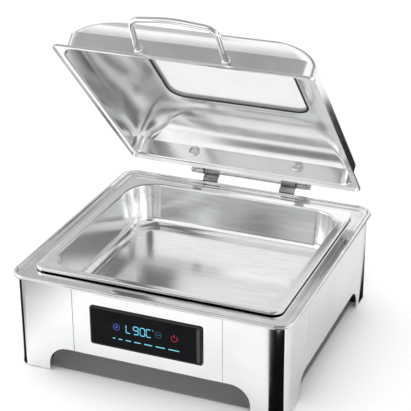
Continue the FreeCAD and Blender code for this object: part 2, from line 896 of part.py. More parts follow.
gussets = []
for end in SIDES.values():
    for hand in HANDS.values():
        body = new_body(None)
        far_x = f"{hand} * (inner_x - gusset_size)"
        far_y = f"{end} * (inner_y - gusset_size)"
        outline = [
            (f"{hand} * inner_x", f"{end} * inner_y"),
            (far_x, f"{end} * inner_y"),
            (far_x, far_y),
            (f"{hand} * inner_x", far_y),
        ]
        pad(body, polygon(body, "XY_Plane", "cover_top", outline), "gusset_thick")
        at = Vector(hand * size("inner_x"), end * size("inner_y"), size("cover_top"))
        round_edges(body, FRAME_CORNER, lambda edge: upright_at(edge, at))
        x = f"{hand} * (inner_x - gusset_size / 2)"
        y = f"{end} * (inner_y - gusset_size / 2)"
        hole = rod("z", "screw_radius", "4 * gusset_thick", (x, y, "cover_top - gusset_thick"))
        gussets.append(cut(body, hole))
keep(group(*gussets), "corner_gussets")


# ---- rear panel, power board and mains inlet ----

def rear_block(x, half_x, z, half_z, near, far):
    """A block between two distances in from the outside of the rear panel."""
    return centred_across(x, half_x, (f"half_depth - ({far})", f"half_depth - ({near})"), z, half_z)


def centred_across(x, half_x, y, z, half_z):
    return box((f"{x} - {half_x}", f"{x} + {half_x}"), y, (f"{z} - {half_z}", f"{z} + {half_z}"))


INLET = ("inlet_x", "inlet_body_x / 2", "inlet_z", "inlet_body_z / 2")
inlet_flange = rear_block(
    "inlet_x", "inlet_flange_x / 2", "inlet_z", "inlet_flange_z / 2", "-inlet_flange_thick", "0"
)
inlet_body = rear_block(*INLET, "0", "inlet_body_depth")
inlet_mouth = rear_block(
    "inlet_x",
    "inlet_mouth_x / 2",
    "inlet_z",
    "inlet_mouth_z / 2",
    "-2 * inlet_flange_thick",
    "inlet_mouth_depth - inlet_flange_thick",
)
inlet_holes = []
inlet_screws = []
for hand in HANDS.values():
    x = f"inlet_x + {hand} * inlet_screw_spacing / 2"
    depth = "inlet_flange_thick + 4 * casing_wall"
    inlet_holes.append(rod("y", "screw_radius", "40", (x, "half_depth - 20", "inlet_z")))
    shank = rod("y", "screw_radius", depth, (x, "half_depth - 4 * casing_wall", "inlet_z"))
    head = rod("y", "screw_head", "screw_head_height", (x, "half_depth + inlet_flange_thick", "inlet_z"))
    inlet_screws.append(fuse(shank, head))
keep(cut(fuse(inlet_flange, inlet_body), inlet_mouth, fuse(*inlet_holes)), "mains_inlet")
keep(group(*inlet_screws), "inlet_screws")
blades = []
for step, rise in ((-1, "-1"), (0, "2"), (1, "-1")):
    x = f"inlet_x + {step} * blade_spacing"
    z = f"inlet_z + {rise}"
    base = "inlet_mouth_depth - inlet_flange_thick"
    blades.append(rear_block(x, "blade_width / 2", z, "blade_height / 2", f"{base} - blade_length", base))
keep(group(*blades), "inlet_blades")

bracket_holes = []
hinge_screws = []
hinge_nuts = []
for hand in HANDS.values():
    for height in ("bracket_screw_low", "bracket_screw_high"):
        x = f"{hand} * (knuckle_inner_x + knuckle_length / 2)"
        bracket_holes.append(rod("y", "hinge_screw_radius", "40", (x, "half_depth - 20", height)))
        head_y = "half_depth + bracket_thick"
        head = rod("y", "hinge_head_radius", "hinge_head_height", (x, head_y, height))
        shank_y = "inner_y - nut_height"
        shank = rod("y", "hinge_screw_radius", f"{head_y} - ({shank_y})", (x, shank_y, height))
        hinge_screws.append(fuse(head, shank))
        nut = rod("y", "nut_radius", "nut_height", (x, shank_y, height))
        bore = rod("y", "hinge_screw_radius", "3 * nut_height", (x, "inner_y - 2 * nut_height", height))
        hinge_nuts.append(cut(nut, bore))
keep(group(*hinge_screws), "bracket_screws")
keep(group(*hinge_nuts), "bracket_nuts")

rear_sheet = box(PANEL_X, ("inner_y", "half_depth"), ("arch_height", "casing_top"))
inlet_window = rear_block(*INLET, "-1", "2 * casing_wall")
keep(cut(rear_sheet, inlet_window, fuse(*inlet_holes, *bracket_holes)), "rear_panel")

power_half_z = "power_height / 2"
power_y = ("power_back", "power_face")
keep(centred_across("power_x", "power_length / 2", power_y, "power_z", power_half_z), "power_board")
standoffs = []
for hand in HANDS.values():
    for end in SIDES.values():
        x = f"power_x + {hand} * (power_length / 2 - 2 * spacer_radius)"
        z = f"power_z + {end} * (power_height / 2 - 2 * spacer_radius)"
        standoffs.append(rod("y", "spacer_radius", "standoff_length", (x, "power_face", z)))
keep(group(*standoffs), "board_standoffs")


def on_board(x, length, depth, height, label):
    """A component that stands on the power board, towards the water pan."""
    middle = f"power_x + {x}"
    ends = (f"power_back - {depth}", "power_back")
    keep(centred_across(middle, f"{length} / 2", ends, "power_z", f"{height} / 2"), label)


on_board("-power_length / 2 + core_x / 2 + fit_gap", "core_x", "core_y", "core_z", "transformer")
on_board("0", "relay_x", "relay_y", "relay_z", "heater_relay")
on_board("power_length / 2 - block_x / 2 - fit_gap", "block_x", "block_y", "block_z", "terminal_block")


# ---- wiring inside the casing ----

WIRE = size("wire_radius")
under_pan = size("plate_under") - size("element_tube")
wire_start_x = size("element_radius") - size("element_tube") / 2 + size("terminal_length")
block_x = size("power_x") + size("power_length") / 2 - size("block_x") / 2
block_y = size("power_back") - size("block_y") / 2
block_low = size("power_z") - size("block_z") / 2
rear_lane = size("half_depth") - 13
under_inlet = size("inlet_z") - size("inlet_body_z") / 2 - size("lead_drop")
side_lane = (size("inner_x") + size("well_half_x") + size("pan_wall")) / 2
outside_shield = size("plate_half_x") + size("shield_margin")
leads = []
for number, end in enumerate(SIDES.values()):
    offset = end * size("terminal_spread") / 2
    step = 4 * WIRE * number
    points = [
        Vector(wire_start_x, offset, under_pan),
        Vector(wire_start_x + 26 + step, offset, under_pan),
        Vector(outside_shield + 14 + step, offset + 30, under_pan - 1),
        Vector(outside_shield + 14 + step, rear_lane - 34, under_pan - 1),
        Vector(outside_shield - 16 + step, rear_lane - step, under_inlet),
        Vector(block_x + 30 + step, rear_lane - step, under_inlet + 2),
        Vector(block_x - 2 * WIRE + step, block_y, block_low - 9),
        Vector(block_x - 2 * WIRE + step, block_y, block_low),
    ]
    leads.append(feature(tube(points, [20, 20, 20, 24, 30, 12], WIRE), None))
    leads[-1].Label = f"heater_lead_{number}"
keep(group(*leads), "heater_leads")

supply = []
for number, hand in enumerate(HANDS.values()):
    start = Vector(
        size("inlet_x") + hand * size("blade_spacing"),
        size("half_depth") - size("inlet_body_depth"),
        size("inlet_z") - 4 + 8 * number,
    )
    lane = start.y - 5
    finish = Vector(block_x + size("block_x") / 2, block_y, size("power_z") - 3 + 6 * number)
    points = [
        start,
        Vector(start.x, lane, start.z),
        Vector(start.x - 24, lane, start.z),
        Vector(finish.x + 22, finish.y, finish.z),
        finish,
    ]
    supply.append(feature(tube(points, [3, 20, 20], WIRE), None))
    supply[-1].Label = f"supply_lead_{number}"
keep(group(*supply), "supply_leads")

signal_z = size("power_z") + size("power_height") / 2 - 6
board_y = (size("power_back") + size("power_face")) / 2
front_y = -size("half_depth") + size("board_back") + size("board_thick") / 2
signal_points = [
    Vector(size("power_x") - size("power_length") / 2, board_y, signal_z),
    Vector(-size("inner_x") + 46, board_y, signal_z),
    Vector(-side_lane, size("inner_y") - 46, signal_z - 6),
    Vector(-side_lane, -size("inner_y") + 46, signal_z - 10),
    Vector(-size("inner_x") + 46, front_y, size("control_height") + 2),
    Vector(-size("glass_half_x") + size("case_inset"), front_y, size("control_height")),
]
feature(tube(signal_points, [20, 24, 24, 20], WIRE), "signal_cable")


# ---- hinge on the base: brackets with knuckles, fixed rod, washers and end caps ----

def hinge_bracket(label, hand):
    body = new_body(None)
    outline = [
        ("half_depth", "bracket_bottom"),
        ("half_depth + bracket_thick", "bracket_bottom"),
        ("half_depth + bracket_thick", "crank_z - 2 * bracket_thick"),
        ("crank_y + bracket_thick", "crank_z - bracket_thick"),
        ("crank_y + bracket_thick", "pivot_z - 2 * knuckle_radius"),
        ("pivot_y + knuckle_radius / 2", "pivot_z - knuckle_radius / 2"),
        ("pivot_y", "pivot_z + knuckle_radius / 2"),
        ("crank_y", "pivot_z - knuckle_radius"),
        ("crank_y", "crank_z"),
        ("half_depth", "crank_z"),
    ]
    start = side(hand, "knuckle_inner_x", "knuckle_inner_x + knuckle_length")[0]
    pad(body, polygon(body, "YZ_Plane", start, outline), "knuckle_length")
    knuckle = rod("x", "knuckle_radius", "knuckle_length", (start, "pivot_y", "pivot_z"))
    bore = rod("x", "rod_radius", "3 * knuckle_length", (f"{start} - knuckle_length", "pivot_y", "pivot_z"))
    keep(cut(fuse(body, knuckle), bore, fuse(*bracket_holes)), label)


washers = []
caps = []
for hand_name, hand in HANDS.items():
    hinge_bracket(f"hinge_bracket_{hand_name}", hand)
    start = side(hand, "washer_x", "washer_x + washer_thick")[0]
    washer = rod("x", "knuckle_radius + running_clearance", "washer_thick", (start, "pivot_y", "pivot_z"))
    hole = rod("x", "rod_radius", "3 * washer_thick", (f"{start} - washer_thick", "pivot_y", "pivot_z"))
    washers.append(cut(washer, hole))
    start = side(hand, "cap_x", "cap_x + cap_length")[0]
    cap = rod("x", "cap_radius", "cap_length", (start, "pivot_y", "pivot_z"))
    hole_start = side(hand, "cap_x - cap_length", "rod_half")[0]
    hole = rod("x", "rod_radius", "rod_half - cap_x + cap_length", (hole_start, "pivot_y", "pivot_z"))
    caps.append(cut(cap, hole))
keep(group(*washers), "friction_washers")
keep(group(*caps), "rod_end_caps")
keep(rod("x", "rod_radius", "2 * rod_half", ("-rod_half", "pivot_y", "pivot_z")), "hinge_rod")


# ---- lid, drawn closed about its own flange, then turned open about the hinge ----

lid_parts = []


def keep_lid(item, label):
    lid_parts.append(item)
    return keep(item, label)


DOME_STEPS = 6


def dome_section(body, step, skin):
    """One level of the domed roof: a turn along an arc that flattens towards the top."""
    part = 1 - step / DOME_STEPS
    sweep = f"dome_angle * {part} * 1 deg"
    radius = f"(dome_radius - {skin})"
    inset = f"lid_flange + dome_radius * sin(dome_angle * 1 deg) - {radius} * sin({sweep})"
    rise = f"apron_height - dome_radius * cos(dome_angle * 1 deg) + {radius} * cos({sweep})"
    corner = f"apron_corner - {skin} + (dome_top_corner - apron_corner) * {1 - part}"
    return section(body, rise, f"lid_half_x - ({inset})", f"lid_half_y - ({inset})", corner)


lid = new_body(None)
pad(lid, section(lid, "0", "lid_half_x", "lid_half_y", "lid_corner"), "lid_wall")
lid_hem = rounded(
    lid,
    "XY_Plane",
    "-lid_hem",
    ("lid_half_x", "lid_half_y", "lid_corner"),
    ("lid_half_x - lid_wall", "lid_half_y - lid_wall", "lid_corner - lid_wall"),
)
pad(lid, lid_hem, "lid_hem + lid_wall / 2")
pad(lid, section(lid, "0", "apron_half_x", "apron_half_y", "apron_corner"), "apron_height")
loft(lid, "AdditiveLoft", [dome_section(lid, step, "0") for step in range(DOME_STEPS + 1)])
SKIN = "lid_wall * sin(dome_angle * 1 deg)"
apron_inside = section(
    lid,
    "apron_height - lid_wall * cos(dome_angle * 1 deg)",
    f"apron_half_x - {SKIN}",
    f"apron_half_y - {SKIN}",
    "apron_corner - lid_wall",
)
pocket(lid, apron_inside, "apron_height + lid_wall")
loft(lid, "SubtractiveLoft", [dome_section(lid, step, "lid_wall") for step in range(DOME_STEPS + 1)])
window = section(lid, "lid_top + lid_wall", "window_half_x", "window_half_y", "window_corner")
pocket(lid, window, "4 * lid_wall")

lid_holes = []
arm_screws = []
for hand in HANDS.values():
    x = f"{hand} * arm_middle"
    inside = "apron_half_y - lid_wall"
    lid_holes.append(rod("y", "fixing_radius", "30", (x, "apron_half_y - 20", "arm_screw_rise")))
    head_y = f"{inside} - arm_screw_head_height"
    head = rod("y", "arm_screw_head", "arm_screw_head_height", (x, head_y, "arm_screw_rise"))
    shank = rod("y", "fixing_radius", "lid_wall + arm_thick", (x, inside, "arm_screw_rise"))
    arm_screws.append(fuse(head, shank))
keep_lid(group(*arm_screws), "arm_screws")

grip_screws = []
bosses = []
for hand in HANDS.values():
    x = f"{hand} * grip_root_x"
    outside = "-apron_half_y"
    lid_holes.append(rod("y", "fixing_radius", "30", (x, f"{outside} - 10", "grip_height")))
    head = rod("y", "fixing_head", "fixing_head_height", (x, f"{outside} + lid_wall", "grip_height"))
    depth = "lid_wall + boss_height + grip_radius"
    shank = rod("y", "fixing_radius", depth, (x, f"{outside} - boss_height - grip_radius", "grip_height"))
    grip_screws.append(fuse(head, shank))
    boss = rod("y", "boss_radius", "boss_height", (x, f"{outside} - boss_height", "grip_height"))
    bosses.append(cut(boss, rod("y", "fixing_radius", "30", (x, f"{outside} - 20", "grip_height"))))
keep_lid(group(*grip_screws), "handle_screws")
keep_lid(group(*bosses), "handle_bosses")
keep_lid(cut(lid, fuse(*lid_holes)), "lid_shell")

pane = new_body("lid_window")
lid_parts.append(pane)
pad(
    pane,
    section(pane, "glazing_under", "glazing_half_x", "glazing_half_y", "window_corner + glazing_margin"),
    "glazing_thick",
)
seal = new_body("window_seal")
lid_parts.append(seal)
SEAL_X = "glazing_half_x + seal_edge"
SEAL_Y = "glazing_half_y + seal_edge"
SEAL_CORNER = "window_corner + glazing_margin + seal_edge"
seal_block = section(seal, "glazing_under - seal_thick", SEAL_X, SEAL_Y, SEAL_CORNER)
pad(seal, seal_block, "glazing_thick + 2 * seal_thick")
lip = section(
    seal,
    "glazing_top + 2 * seal_thick",
    "glazing_half_x - seal_lip",
    "glazing_half_y - seal_lip",
    "window_corner + glazing_margin - seal_lip",
)
pocket(seal, lip, "glazing_thick + 4 * seal_thick")
groove = section(seal, "glazing_top", "glazing_half_x", "glazing_half_y", "window_corner + glazing_margin")
pocket(seal, groove, "glazing_thick")

# a thin steel ring holds the seal all round
ring = new_body("window_frame")
lid_parts.append(ring)
RING = (f"{SEAL_X} + frame_wall", f"{SEAL_Y} + frame_wall", f"{SEAL_CORNER} + frame_wall")
pad(ring, section(ring, "glazing_under - seal_thick", *RING), "glazing_thick + 2 * seal_thick")
ring_mouth = section(ring, "glazing_top + 2 * seal_thick", SEAL_X, SEAL_Y, SEAL_CORNER)
pocket(ring, ring_mouth, "glazing_thick + 4 * seal_thick")


def hinge_arm(label, hand):
    """A plate on the rear apron with a web that reaches back to an eye on the rod."""
    web_low = "hinge_local_z - arm_thick"
    web_high = "hinge_local_z + arm_thick"
    body = new_body(None)
    outline = [
        ("apron_half_y", web_low),
        ("hinge_local_y", web_low),
        ("hinge_local_y", web_high),
        ("apron_half_y + 3 * arm_thick", web_high),
        ("apron_half_y + arm_thick", "hinge_local_z + 3 * arm_thick"),
        ("apron_half_y + arm_thick", "arm_plate_high"),
        ("apron_half_y", "arm_plate_high"),
    ]
    start = side(hand, "arm_x", "arm_x + arm_length")[0]
    pad(body, polygon(body, "YZ_Plane", start, outline), "arm_length")
    eye = rod("x", "arm_radius", "arm_length", (start, "hinge_local_y", "hinge_local_z"))
    bore_at = (f"{start} - arm_length", "hinge_local_y", "hinge_local_z")
    bore = rod("x", "rod_radius + running_clearance", "3 * arm_length", bore_at)
    keep_lid(cut(fuse(body, eye), bore, fuse(*lid_holes[: len(HANDS)])), label)


for hand_name, hand in HANDS.items():
    hinge_arm(f"hinge_arm_{hand_name}", hand)

tilt = math.radians(size("grip_tilt"))
root_y = -size("apron_half_y") - size("boss_height")
stub = 2 * size("grip_radius")


def grip_point(x, reach):
    """A point of the handle's middle line, a distance out from its straight stub."""
    return Vector(x, root_y - stub - reach * math.cos(tilt), size("grip_height") + reach * math.sin(tilt))


grip_points = [Vector(size("grip_root_x"), root_y, size("grip_height"))]
grip_points.append(grip_point(size("grip_root_x"), 0))
grip_points.append(grip_point(size("grip_corner_x"), size("grip_reach") - stub))
grip_points.append(grip_point(0, size("grip_reach") - stub + size("grip_bow")))
mirrored = [Vector(-point.x, point.y, point.z) for point in reversed(grip_points[:-1])]
BEND = size("grip_bend")
grip_bends = [2 * BEND, BEND, 10 * BEND, BEND, 2 * BEND]
grip_bar = feature(tube(grip_points + mirrored, grip_bends, size("grip_radius")), None)
grip_bar.Label = "handle_blank"
keep_lid(cut(grip_bar, fuse(*lid_holes[len(HANDS) :])), "handle_bar")

axis = Vector(0, size("pivot_y"), size("pivot_z"))
seated = Placement(Vector(0, size("lid_centre_y"), size("lid_seat")), Rotation())
opened = Placement(Vector(), Rotation(Vector(1, 0, 0), -size("open_angle")), axis)
doc.recompute()
for item in lid_parts:
    item.Placement = opened * seated
doc.recompute()


# ---- every object sound, then one file per sub-part ----

for item in doc.Objects:
    if {"Invalid", "Error"} & set(item.State):
        raise RuntimeError(f"{item.Label} ({item.TypeId}) did not build: {item.State}")
for label, item in nodes.items():
    shape = item.Shape
    if shape.isNull() or not shape.isValid() or not shape.Solids:
        raise RuntimeError(f"{label} has no sound solid")
os.makedirs("parts", exist_ok=True)
for label, item in nodes.items():
    item.Shape.exportStep(f"parts/{label}.step")
    print(f"{label}: {len(item.Shape.Solids)} solid, {item.Shape.Volume / 1000:.2f} cm3")
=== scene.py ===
import json
import math
import bmesh
import bpy
from mathutils import Matrix, Vector


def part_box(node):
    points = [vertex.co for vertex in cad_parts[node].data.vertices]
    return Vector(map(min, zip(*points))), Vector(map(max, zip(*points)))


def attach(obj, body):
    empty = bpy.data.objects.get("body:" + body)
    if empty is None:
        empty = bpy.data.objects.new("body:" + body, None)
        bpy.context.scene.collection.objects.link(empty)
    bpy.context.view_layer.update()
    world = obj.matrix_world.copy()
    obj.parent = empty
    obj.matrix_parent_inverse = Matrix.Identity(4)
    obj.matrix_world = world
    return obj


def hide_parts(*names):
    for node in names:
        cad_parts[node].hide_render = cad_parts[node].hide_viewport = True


# Electric chafing dish: polished casing on four legs, rolled rim, food pan, touch panel and an open dome lid.

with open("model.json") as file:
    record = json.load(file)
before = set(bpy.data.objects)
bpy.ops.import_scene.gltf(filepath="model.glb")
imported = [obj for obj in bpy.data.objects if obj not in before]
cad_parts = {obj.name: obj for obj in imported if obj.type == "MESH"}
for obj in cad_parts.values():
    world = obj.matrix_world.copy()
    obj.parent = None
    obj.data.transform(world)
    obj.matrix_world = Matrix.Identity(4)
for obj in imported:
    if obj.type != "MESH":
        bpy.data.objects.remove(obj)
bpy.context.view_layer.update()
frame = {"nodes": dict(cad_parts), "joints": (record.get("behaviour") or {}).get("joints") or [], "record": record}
nodes = frame["nodes"]
hinge = frame["joints"][0]


# small helpers for selecting and shaping
def letGo():
    if bpy.context.object and bpy.context.object.mode != "OBJECT":
        bpy.ops.object.mode_set(mode="OBJECT")
    bpy.ops.object.select_all(action="DESELECT")


def takeUp(piece):
    letGo()
    piece.select_set(True)
    bpy.context.view_layer.objects.active = piece


def edit(piece, kind="VERT"):
    takeUp(piece)
    bpy.ops.object.mode_set(mode="EDIT")
    bpy.ops.mesh.select_mode(type=kind)


def pick(piece, test, kind="verts"):
    shape = bmesh.from_edit_mesh(piece.data)
    bpy.ops.mesh.select_all(action="DESELECT")
    for part in getattr(shape, kind):
        if test(part):
            part.select_set(True)
    shape.select_flush_mode()
    bmesh.update_edit_mesh(piece.data)


def picked(piece):
    return [part.index for part in bmesh.from_edit_mesh(piece.data).verts if part.select]


def pickNumbers(piece, numbers):
    wanted = set(numbers)
    pick(piece, lambda vert: vert.index in wanted)


def settle(piece):
    takeUp(piece)
    bpy.ops.object.transform_apply(location=True, rotation=True, scale=True)


def modify(piece, kind, **values):
    takeUp(piece)
    tool = piece.modifiers.new(kind.lower(), kind)
    for key, value in values.items():
        setattr(tool, key, value)
    bpy.ops.object.modifier_apply(modifier=tool.name)


def soften(piece, width, steps=2, angle=35):
    modify(piece, "BEVEL", width=width, segments=steps, limit_method="ANGLE", angle_limit=math.radians(angle))


def outwards(piece):
    edit(piece)
    bpy.ops.mesh.select_all(action="SELECT")
    bpy.ops.mesh.remove_doubles(threshold=1e-6)
    bpy.ops.mesh.normals_make_consistent(inside=False)
    letGo()


def carve(piece, cutter):
    modify(piece, "BOOLEAN", object=cutter, operation="DIFFERENCE", solver="EXACT")
    bpy.data.objects.remove(cutter)


def joinInto(piece, *others):
    takeUp(piece)
    for other in others:
        other.select_set(True)
    bpy.ops.object.join()
    return piece


def finishPiece(piece, body, slot, replaced=(), angle=35, look=None):
    settle(piece)
    bpy.ops.object.shade_smooth_by_angle(angle=math.radians(angle))
    modify(piece, "WEIGHTED_NORMAL", keep_sharp=True, weight=60)
    piece.data.materials.clear()
    piece.data.materials.append(finish[look or slot])
    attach(piece, body)
    if replaced:
        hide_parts(*replaced)
    return piece


# stacked rounded rectangles: (half x, half y, corner, height)
cornerSteps = 12


def quarterMove(piece, ring, old, new):
    for signX in (1, -1):
        for signY in (1, -1):
            shape = bmesh.from_edit_mesh(piece.data)
            shape.verts.ensure_lookup_table()
            places = {number: shape.verts[number].co for number in ring}
            corner = [number for number, place in places.items() if place.x * signX > 0 and place.y * signY > 0]
            centre = Vector((signX * (old[0] - old[2]), signY * (old[1] - old[2]), old[3]))
            target = Vector((signX * (new[0] - new[2]), signY * (new[1] - new[2]), new[3]))
            factor = new[2] / old[2]
            pickNumbers(piece, corner)
            bpy.ops.transform.resize(value=(factor, factor, 1), center_override=centre)
            bpy.ops.transform.translate(value=target - centre)
    pickNumbers(piece, ring)


def ringShell(name, rings, closeStart=False, closeEnd=False):
    half = math.pi / (4 * cornerSteps)
    letGo()
    bpy.ops.mesh.primitive_circle_add(vertices=4 * cornerSteps, radius=1 / math.cos(half), rotation=(0, 0, half))
    piece = bpy.context.object
    piece.name = name
    settle(piece)
    edit(piece)
    bpy.ops.mesh.select_all(action="SELECT")
    quarterMove(piece, picked(piece), (1, 1, 1, 0), rings[0])
    for old, new in zip(rings, rings[1:]):
        bpy.ops.mesh.extrude_edges_move()
        quarterMove(piece, picked(piece), old, new)
    if closeEnd:
        bpy.ops.mesh.edge_face_add()
    if closeStart:
        low = rings[0][3]
        pick(piece, lambda vert: abs(vert.co.z - low) < 1e-7 and vert.is_boundary)
        bpy.ops.mesh.edge_face_add()
    outwards(piece)
    return piece


def arcRings(outline, centreInset, centreHeight, radius, start, end, steps, corner):
    # Rings round a quarter or more of a rolled edge, from one angle to another
    rings = []
    for step in range(steps + 1):
        turn = math.radians(start + (end - start) * step / steps)
        inset = centreInset - radius * math.cos(turn)
        height = centreHeight + radius * math.sin(turn)
        rings.append((outline[0] - inset, outline[1] - inset, corner - inset, height))
    return rings


def roundPiece(name, rings, start, direction, steps=40):
    # Circles stacked along a line: (radius, distance along)
    letGo()
    bpy.ops.mesh.primitive_circle_add(vertices=steps, radius=rings[0][0], location=(0, 0, rings[0][1]),
                                      fill_type="NGON")
    piece = bpy.context.object
    piece.name = name
    settle(piece)
    edit(piece)
    bpy.ops.mesh.select_all(action="SELECT")
    for old, new in zip(rings, rings[1:]):
        bpy.ops.mesh.extrude_region_move(TRANSFORM_OT_translate={"value": (0, 0, new[1] - old[1])})
        factor = new[0] / old[0]
        bpy.ops.transform.resize(value=(factor, factor, 1), center_override=(0, 0, new[1]))
    outwards(piece)
    piece.matrix_world = Matrix.Translation(start) @ Vector(direction).to_track_quat("Z", "Y").to_matrix().to_4x4()
    settle(piece)
    return piece


def block(name, low, high):
    letGo()
    low, high = Vector(low), Vector(high)
    bpy.ops.mesh.primitive_cube_add(size=1, location=(low + high) / 2)
    piece = bpy.context.object
    piece.name = name
    piece.scale = high - low
    settle(piece)
    return piece


def strip(name, path, fromX, toX, wall, bend):
    # A band of sheet bent along a path of (y, z) points, with rounded bends
    letGo()
    first, second = path[0], path[1]
    bpy.ops.mesh.primitive_plane_add(size=1)
    piece = bpy.context.object
    piece.name = name
    piece.scale = (toX - fromX, 1, 1)
    settle(piece)
    edit(piece)
    middle = (fromX + toX) / 2
    pick(piece, lambda vert: vert.co.y < 0)
    bpy.ops.transform.translate(value=(middle, first[0] + 0.5, first[1]))
    pick(piece, lambda vert: vert.index in (2, 3))
    bpy.ops.transform.translate(value=(middle, second[0] - 0.5, second[1]))
    for old, new in zip(path[1:], path[2:]):
        bpy.ops.mesh.extrude_edges_move(TRANSFORM_OT_translate={"value": (0, new[0] - old[0], new[1] - old[1])})
    inner = [Vector(point) for point in path[1:-1]]

    def atBend(edge):
        spots = [Vector(vert.co.yz) for vert in edge.verts]
        return any((spots[0] - point).length < 1e-5 and (spots[1] - point).length < 1e-5 for point in inner)

    bpy.ops.mesh.select_mode(type="EDGE")
    pick(piece, atBend, "edges")
    bpy.ops.mesh.bevel(offset=bend, segments=6)
    outwards(piece)
    modify(piece, "SOLIDIFY", thickness=wall, offset=0)
    soften(piece, wall / 6)
    return piece


# finishes: every one is made of nodes that read object coordinates
looks = {
    "polished_steel": dict(metal=1, dark=(0.8, 0.81, 0.82), light=(0.9, 0.905, 0.91),
                           rough=(0.05, 0.1), grain=14, bump=0.015),
    "satin_steel": dict(metal=1, dark=(0.82, 0.825, 0.83), light=(0.92, 0.925, 0.93),
                        rough=(0.12, 0.2), grain=24, stretch=(1, 10, 10), bump=0.008),
    "rimSteel": dict(metal=1, dark=(0.66, 0.665, 0.67), light=(0.8, 0.805, 0.81),
                     rough=(0.06, 0.14), grain=30, bump=0.012),
    "screwSteel": dict(metal=1, dark=(0.62, 0.624, 0.63), light=(0.8, 0.804, 0.81),
                       rough=(0.1, 0.18), grain=60, bump=0.012),
    # Steel for the hinge arms, rod and end caps, darker than the chrome it stands for: painted shade that keeps their
    # reflections grey
    "rodSteelPaintedShade": dict(metal=1, dark=(0.52, 0.524, 0.53), light=(0.7, 0.704, 0.71),
                     rough=(0.08, 0.16), grain=60, bump=0.012),
    "lidSteel": dict(metal=1, dark=(0.8, 0.805, 0.81), light=(0.92, 0.925, 0.93),
                     rough=(0.14, 0.2), grain=18, bump=0.008),
    "bright_chrome": dict(metal=1, dark=(0.84, 0.845, 0.85), light=(0.92, 0.925, 0.93),
                          rough=(0.04, 0.09), grain=40, bump=0.01),
    "zinc_steel": dict(metal=1, dark=(0.42, 0.43, 0.44), light=(0.6, 0.61, 0.62),
                       rough=(0.35, 0.55), grain=60, bump=0.05),
    "black_rubber": dict(metal=0, dark=(0.008, 0.008, 0.009), light=(0.018, 0.018, 0.019),
                         rough=(0.55, 0.75), grain=400, bump=0.15),
    "black_glass": dict(metal=0, dark=(0.003, 0.003, 0.004), light=(0.007, 0.007, 0.009),
                        rough=(0.04, 0.07), grain=20, bump=0.002, shine=0.06),
    "clear_glass": dict(metal=0, dark=(0.9, 0.91, 0.91), light=(0.95, 0.955, 0.955),
                        rough=(0.02, 0.05), grain=10, bump=0.002, alpha=0.34),
    "black_plastic": dict(metal=0, dark=(0.012, 0.012, 0.013), light=(0.028, 0.028, 0.03),
                          rough=(0.35, 0.5), grain=500, bump=0.1),
    "silver_plastic": dict(metal=0, dark=(0.008, 0.008, 0.009), light=(0.02, 0.02, 0.022),
                           rough=(0.12, 0.2), grain=200, bump=0.02, shine=0.3),
    "white_plastic": dict(metal=0, dark=(0.68, 0.68, 0.65), light=(0.8, 0.8, 0.77),
                          rough=(0.4, 0.55), grain=300, bump=0.06),
    "green_board": dict(metal=0, dark=(0.02, 0.12, 0.05), light=(0.04, 0.2, 0.09),
                        rough=(0.25, 0.4), grain=150, bump=0.05),
    "cast_aluminium": dict(metal=1, dark=(0.55, 0.55, 0.56), light=(0.68, 0.68, 0.69),
                           rough=(0.4, 0.6), grain=250, bump=0.2),
    "lamp_cyan": dict(metal=0, dark=(0.18, 0.55, 0.65), light=(0.25, 0.65, 0.75),
                      rough=(0.3, 0.4), grain=200, bump=0.01, glow=(0.06, 0.4, 0.72), strength=0.55, shine=0.2),
    "barCyan": dict(metal=0, dark=(0.1, 0.3, 0.34), light=(0.14, 0.36, 0.4),
                    rough=(0.3, 0.4), grain=200, bump=0.01, glow=(0.16, 0.66, 0.78), strength=0.75, shine=0.2),
    "brass_metal": dict(metal=1, dark=(0.62, 0.46, 0.2), light=(0.75, 0.58, 0.28),
                        rough=(0.2, 0.35), grain=80, bump=0.03),
    "red_sleeve": dict(metal=0, dark=(0.4, 0.03, 0.02), light=(0.55, 0.06, 0.04),
                       rough=(0.45, 0.6), grain=300, bump=0.05),
    "keyBlue": dict(metal=0, dark=(0.05, 0.06, 0.3), light=(0.07, 0.09, 0.4),
                    rough=(0.3, 0.4), grain=200, bump=0.01, glow=(0.1, 0.12, 0.62), strength=0.6),
    "keyTeal": dict(metal=0, dark=(0.01, 0.06, 0.09), light=(0.02, 0.09, 0.12),
                    rough=(0.3, 0.4), grain=200, bump=0.01, glow=(0.02, 0.16, 0.24), strength=0.5),
    "keyRed": dict(metal=0, dark=(0.35, 0.01, 0.02), light=(0.45, 0.02, 0.04),
                   rough=(0.3, 0.4), grain=200, bump=0.01, glow=(0.55, 0.02, 0.05), strength=0.5),
    # Steel for the hinge brackets, darker than the chrome it stands for: painted shade copying the dark reflections
    # on the bracket feet
    "hingeSteelPaintedShade": dict(metal=1, dark=(0.22, 0.222, 0.226), light=(0.4, 0.404, 0.41),
                       rough=(0.14, 0.26), grain=60, bump=0.02),
    "panelEdge": dict(metal=0, dark=(0.018, 0.018, 0.02), light=(0.035, 0.035, 0.038),
                      rough=(0.12, 0.2), grain=30, bump=0.002),
}


def rangeNode(tree, fromEnds=(0, 1), toEnds=(0, 1), smooth=False):
    node = tree.nodes.new("ShaderNodeMapRange")
    for label, ends in (("From", fromEnds), ("To", toEnds)):
        node.inputs[f"{label} Min"].default_value, node.inputs[f"{label} Max"].default_value = ends
    if smooth:
        node.interpolation_type = "SMOOTHSTEP"
    return node


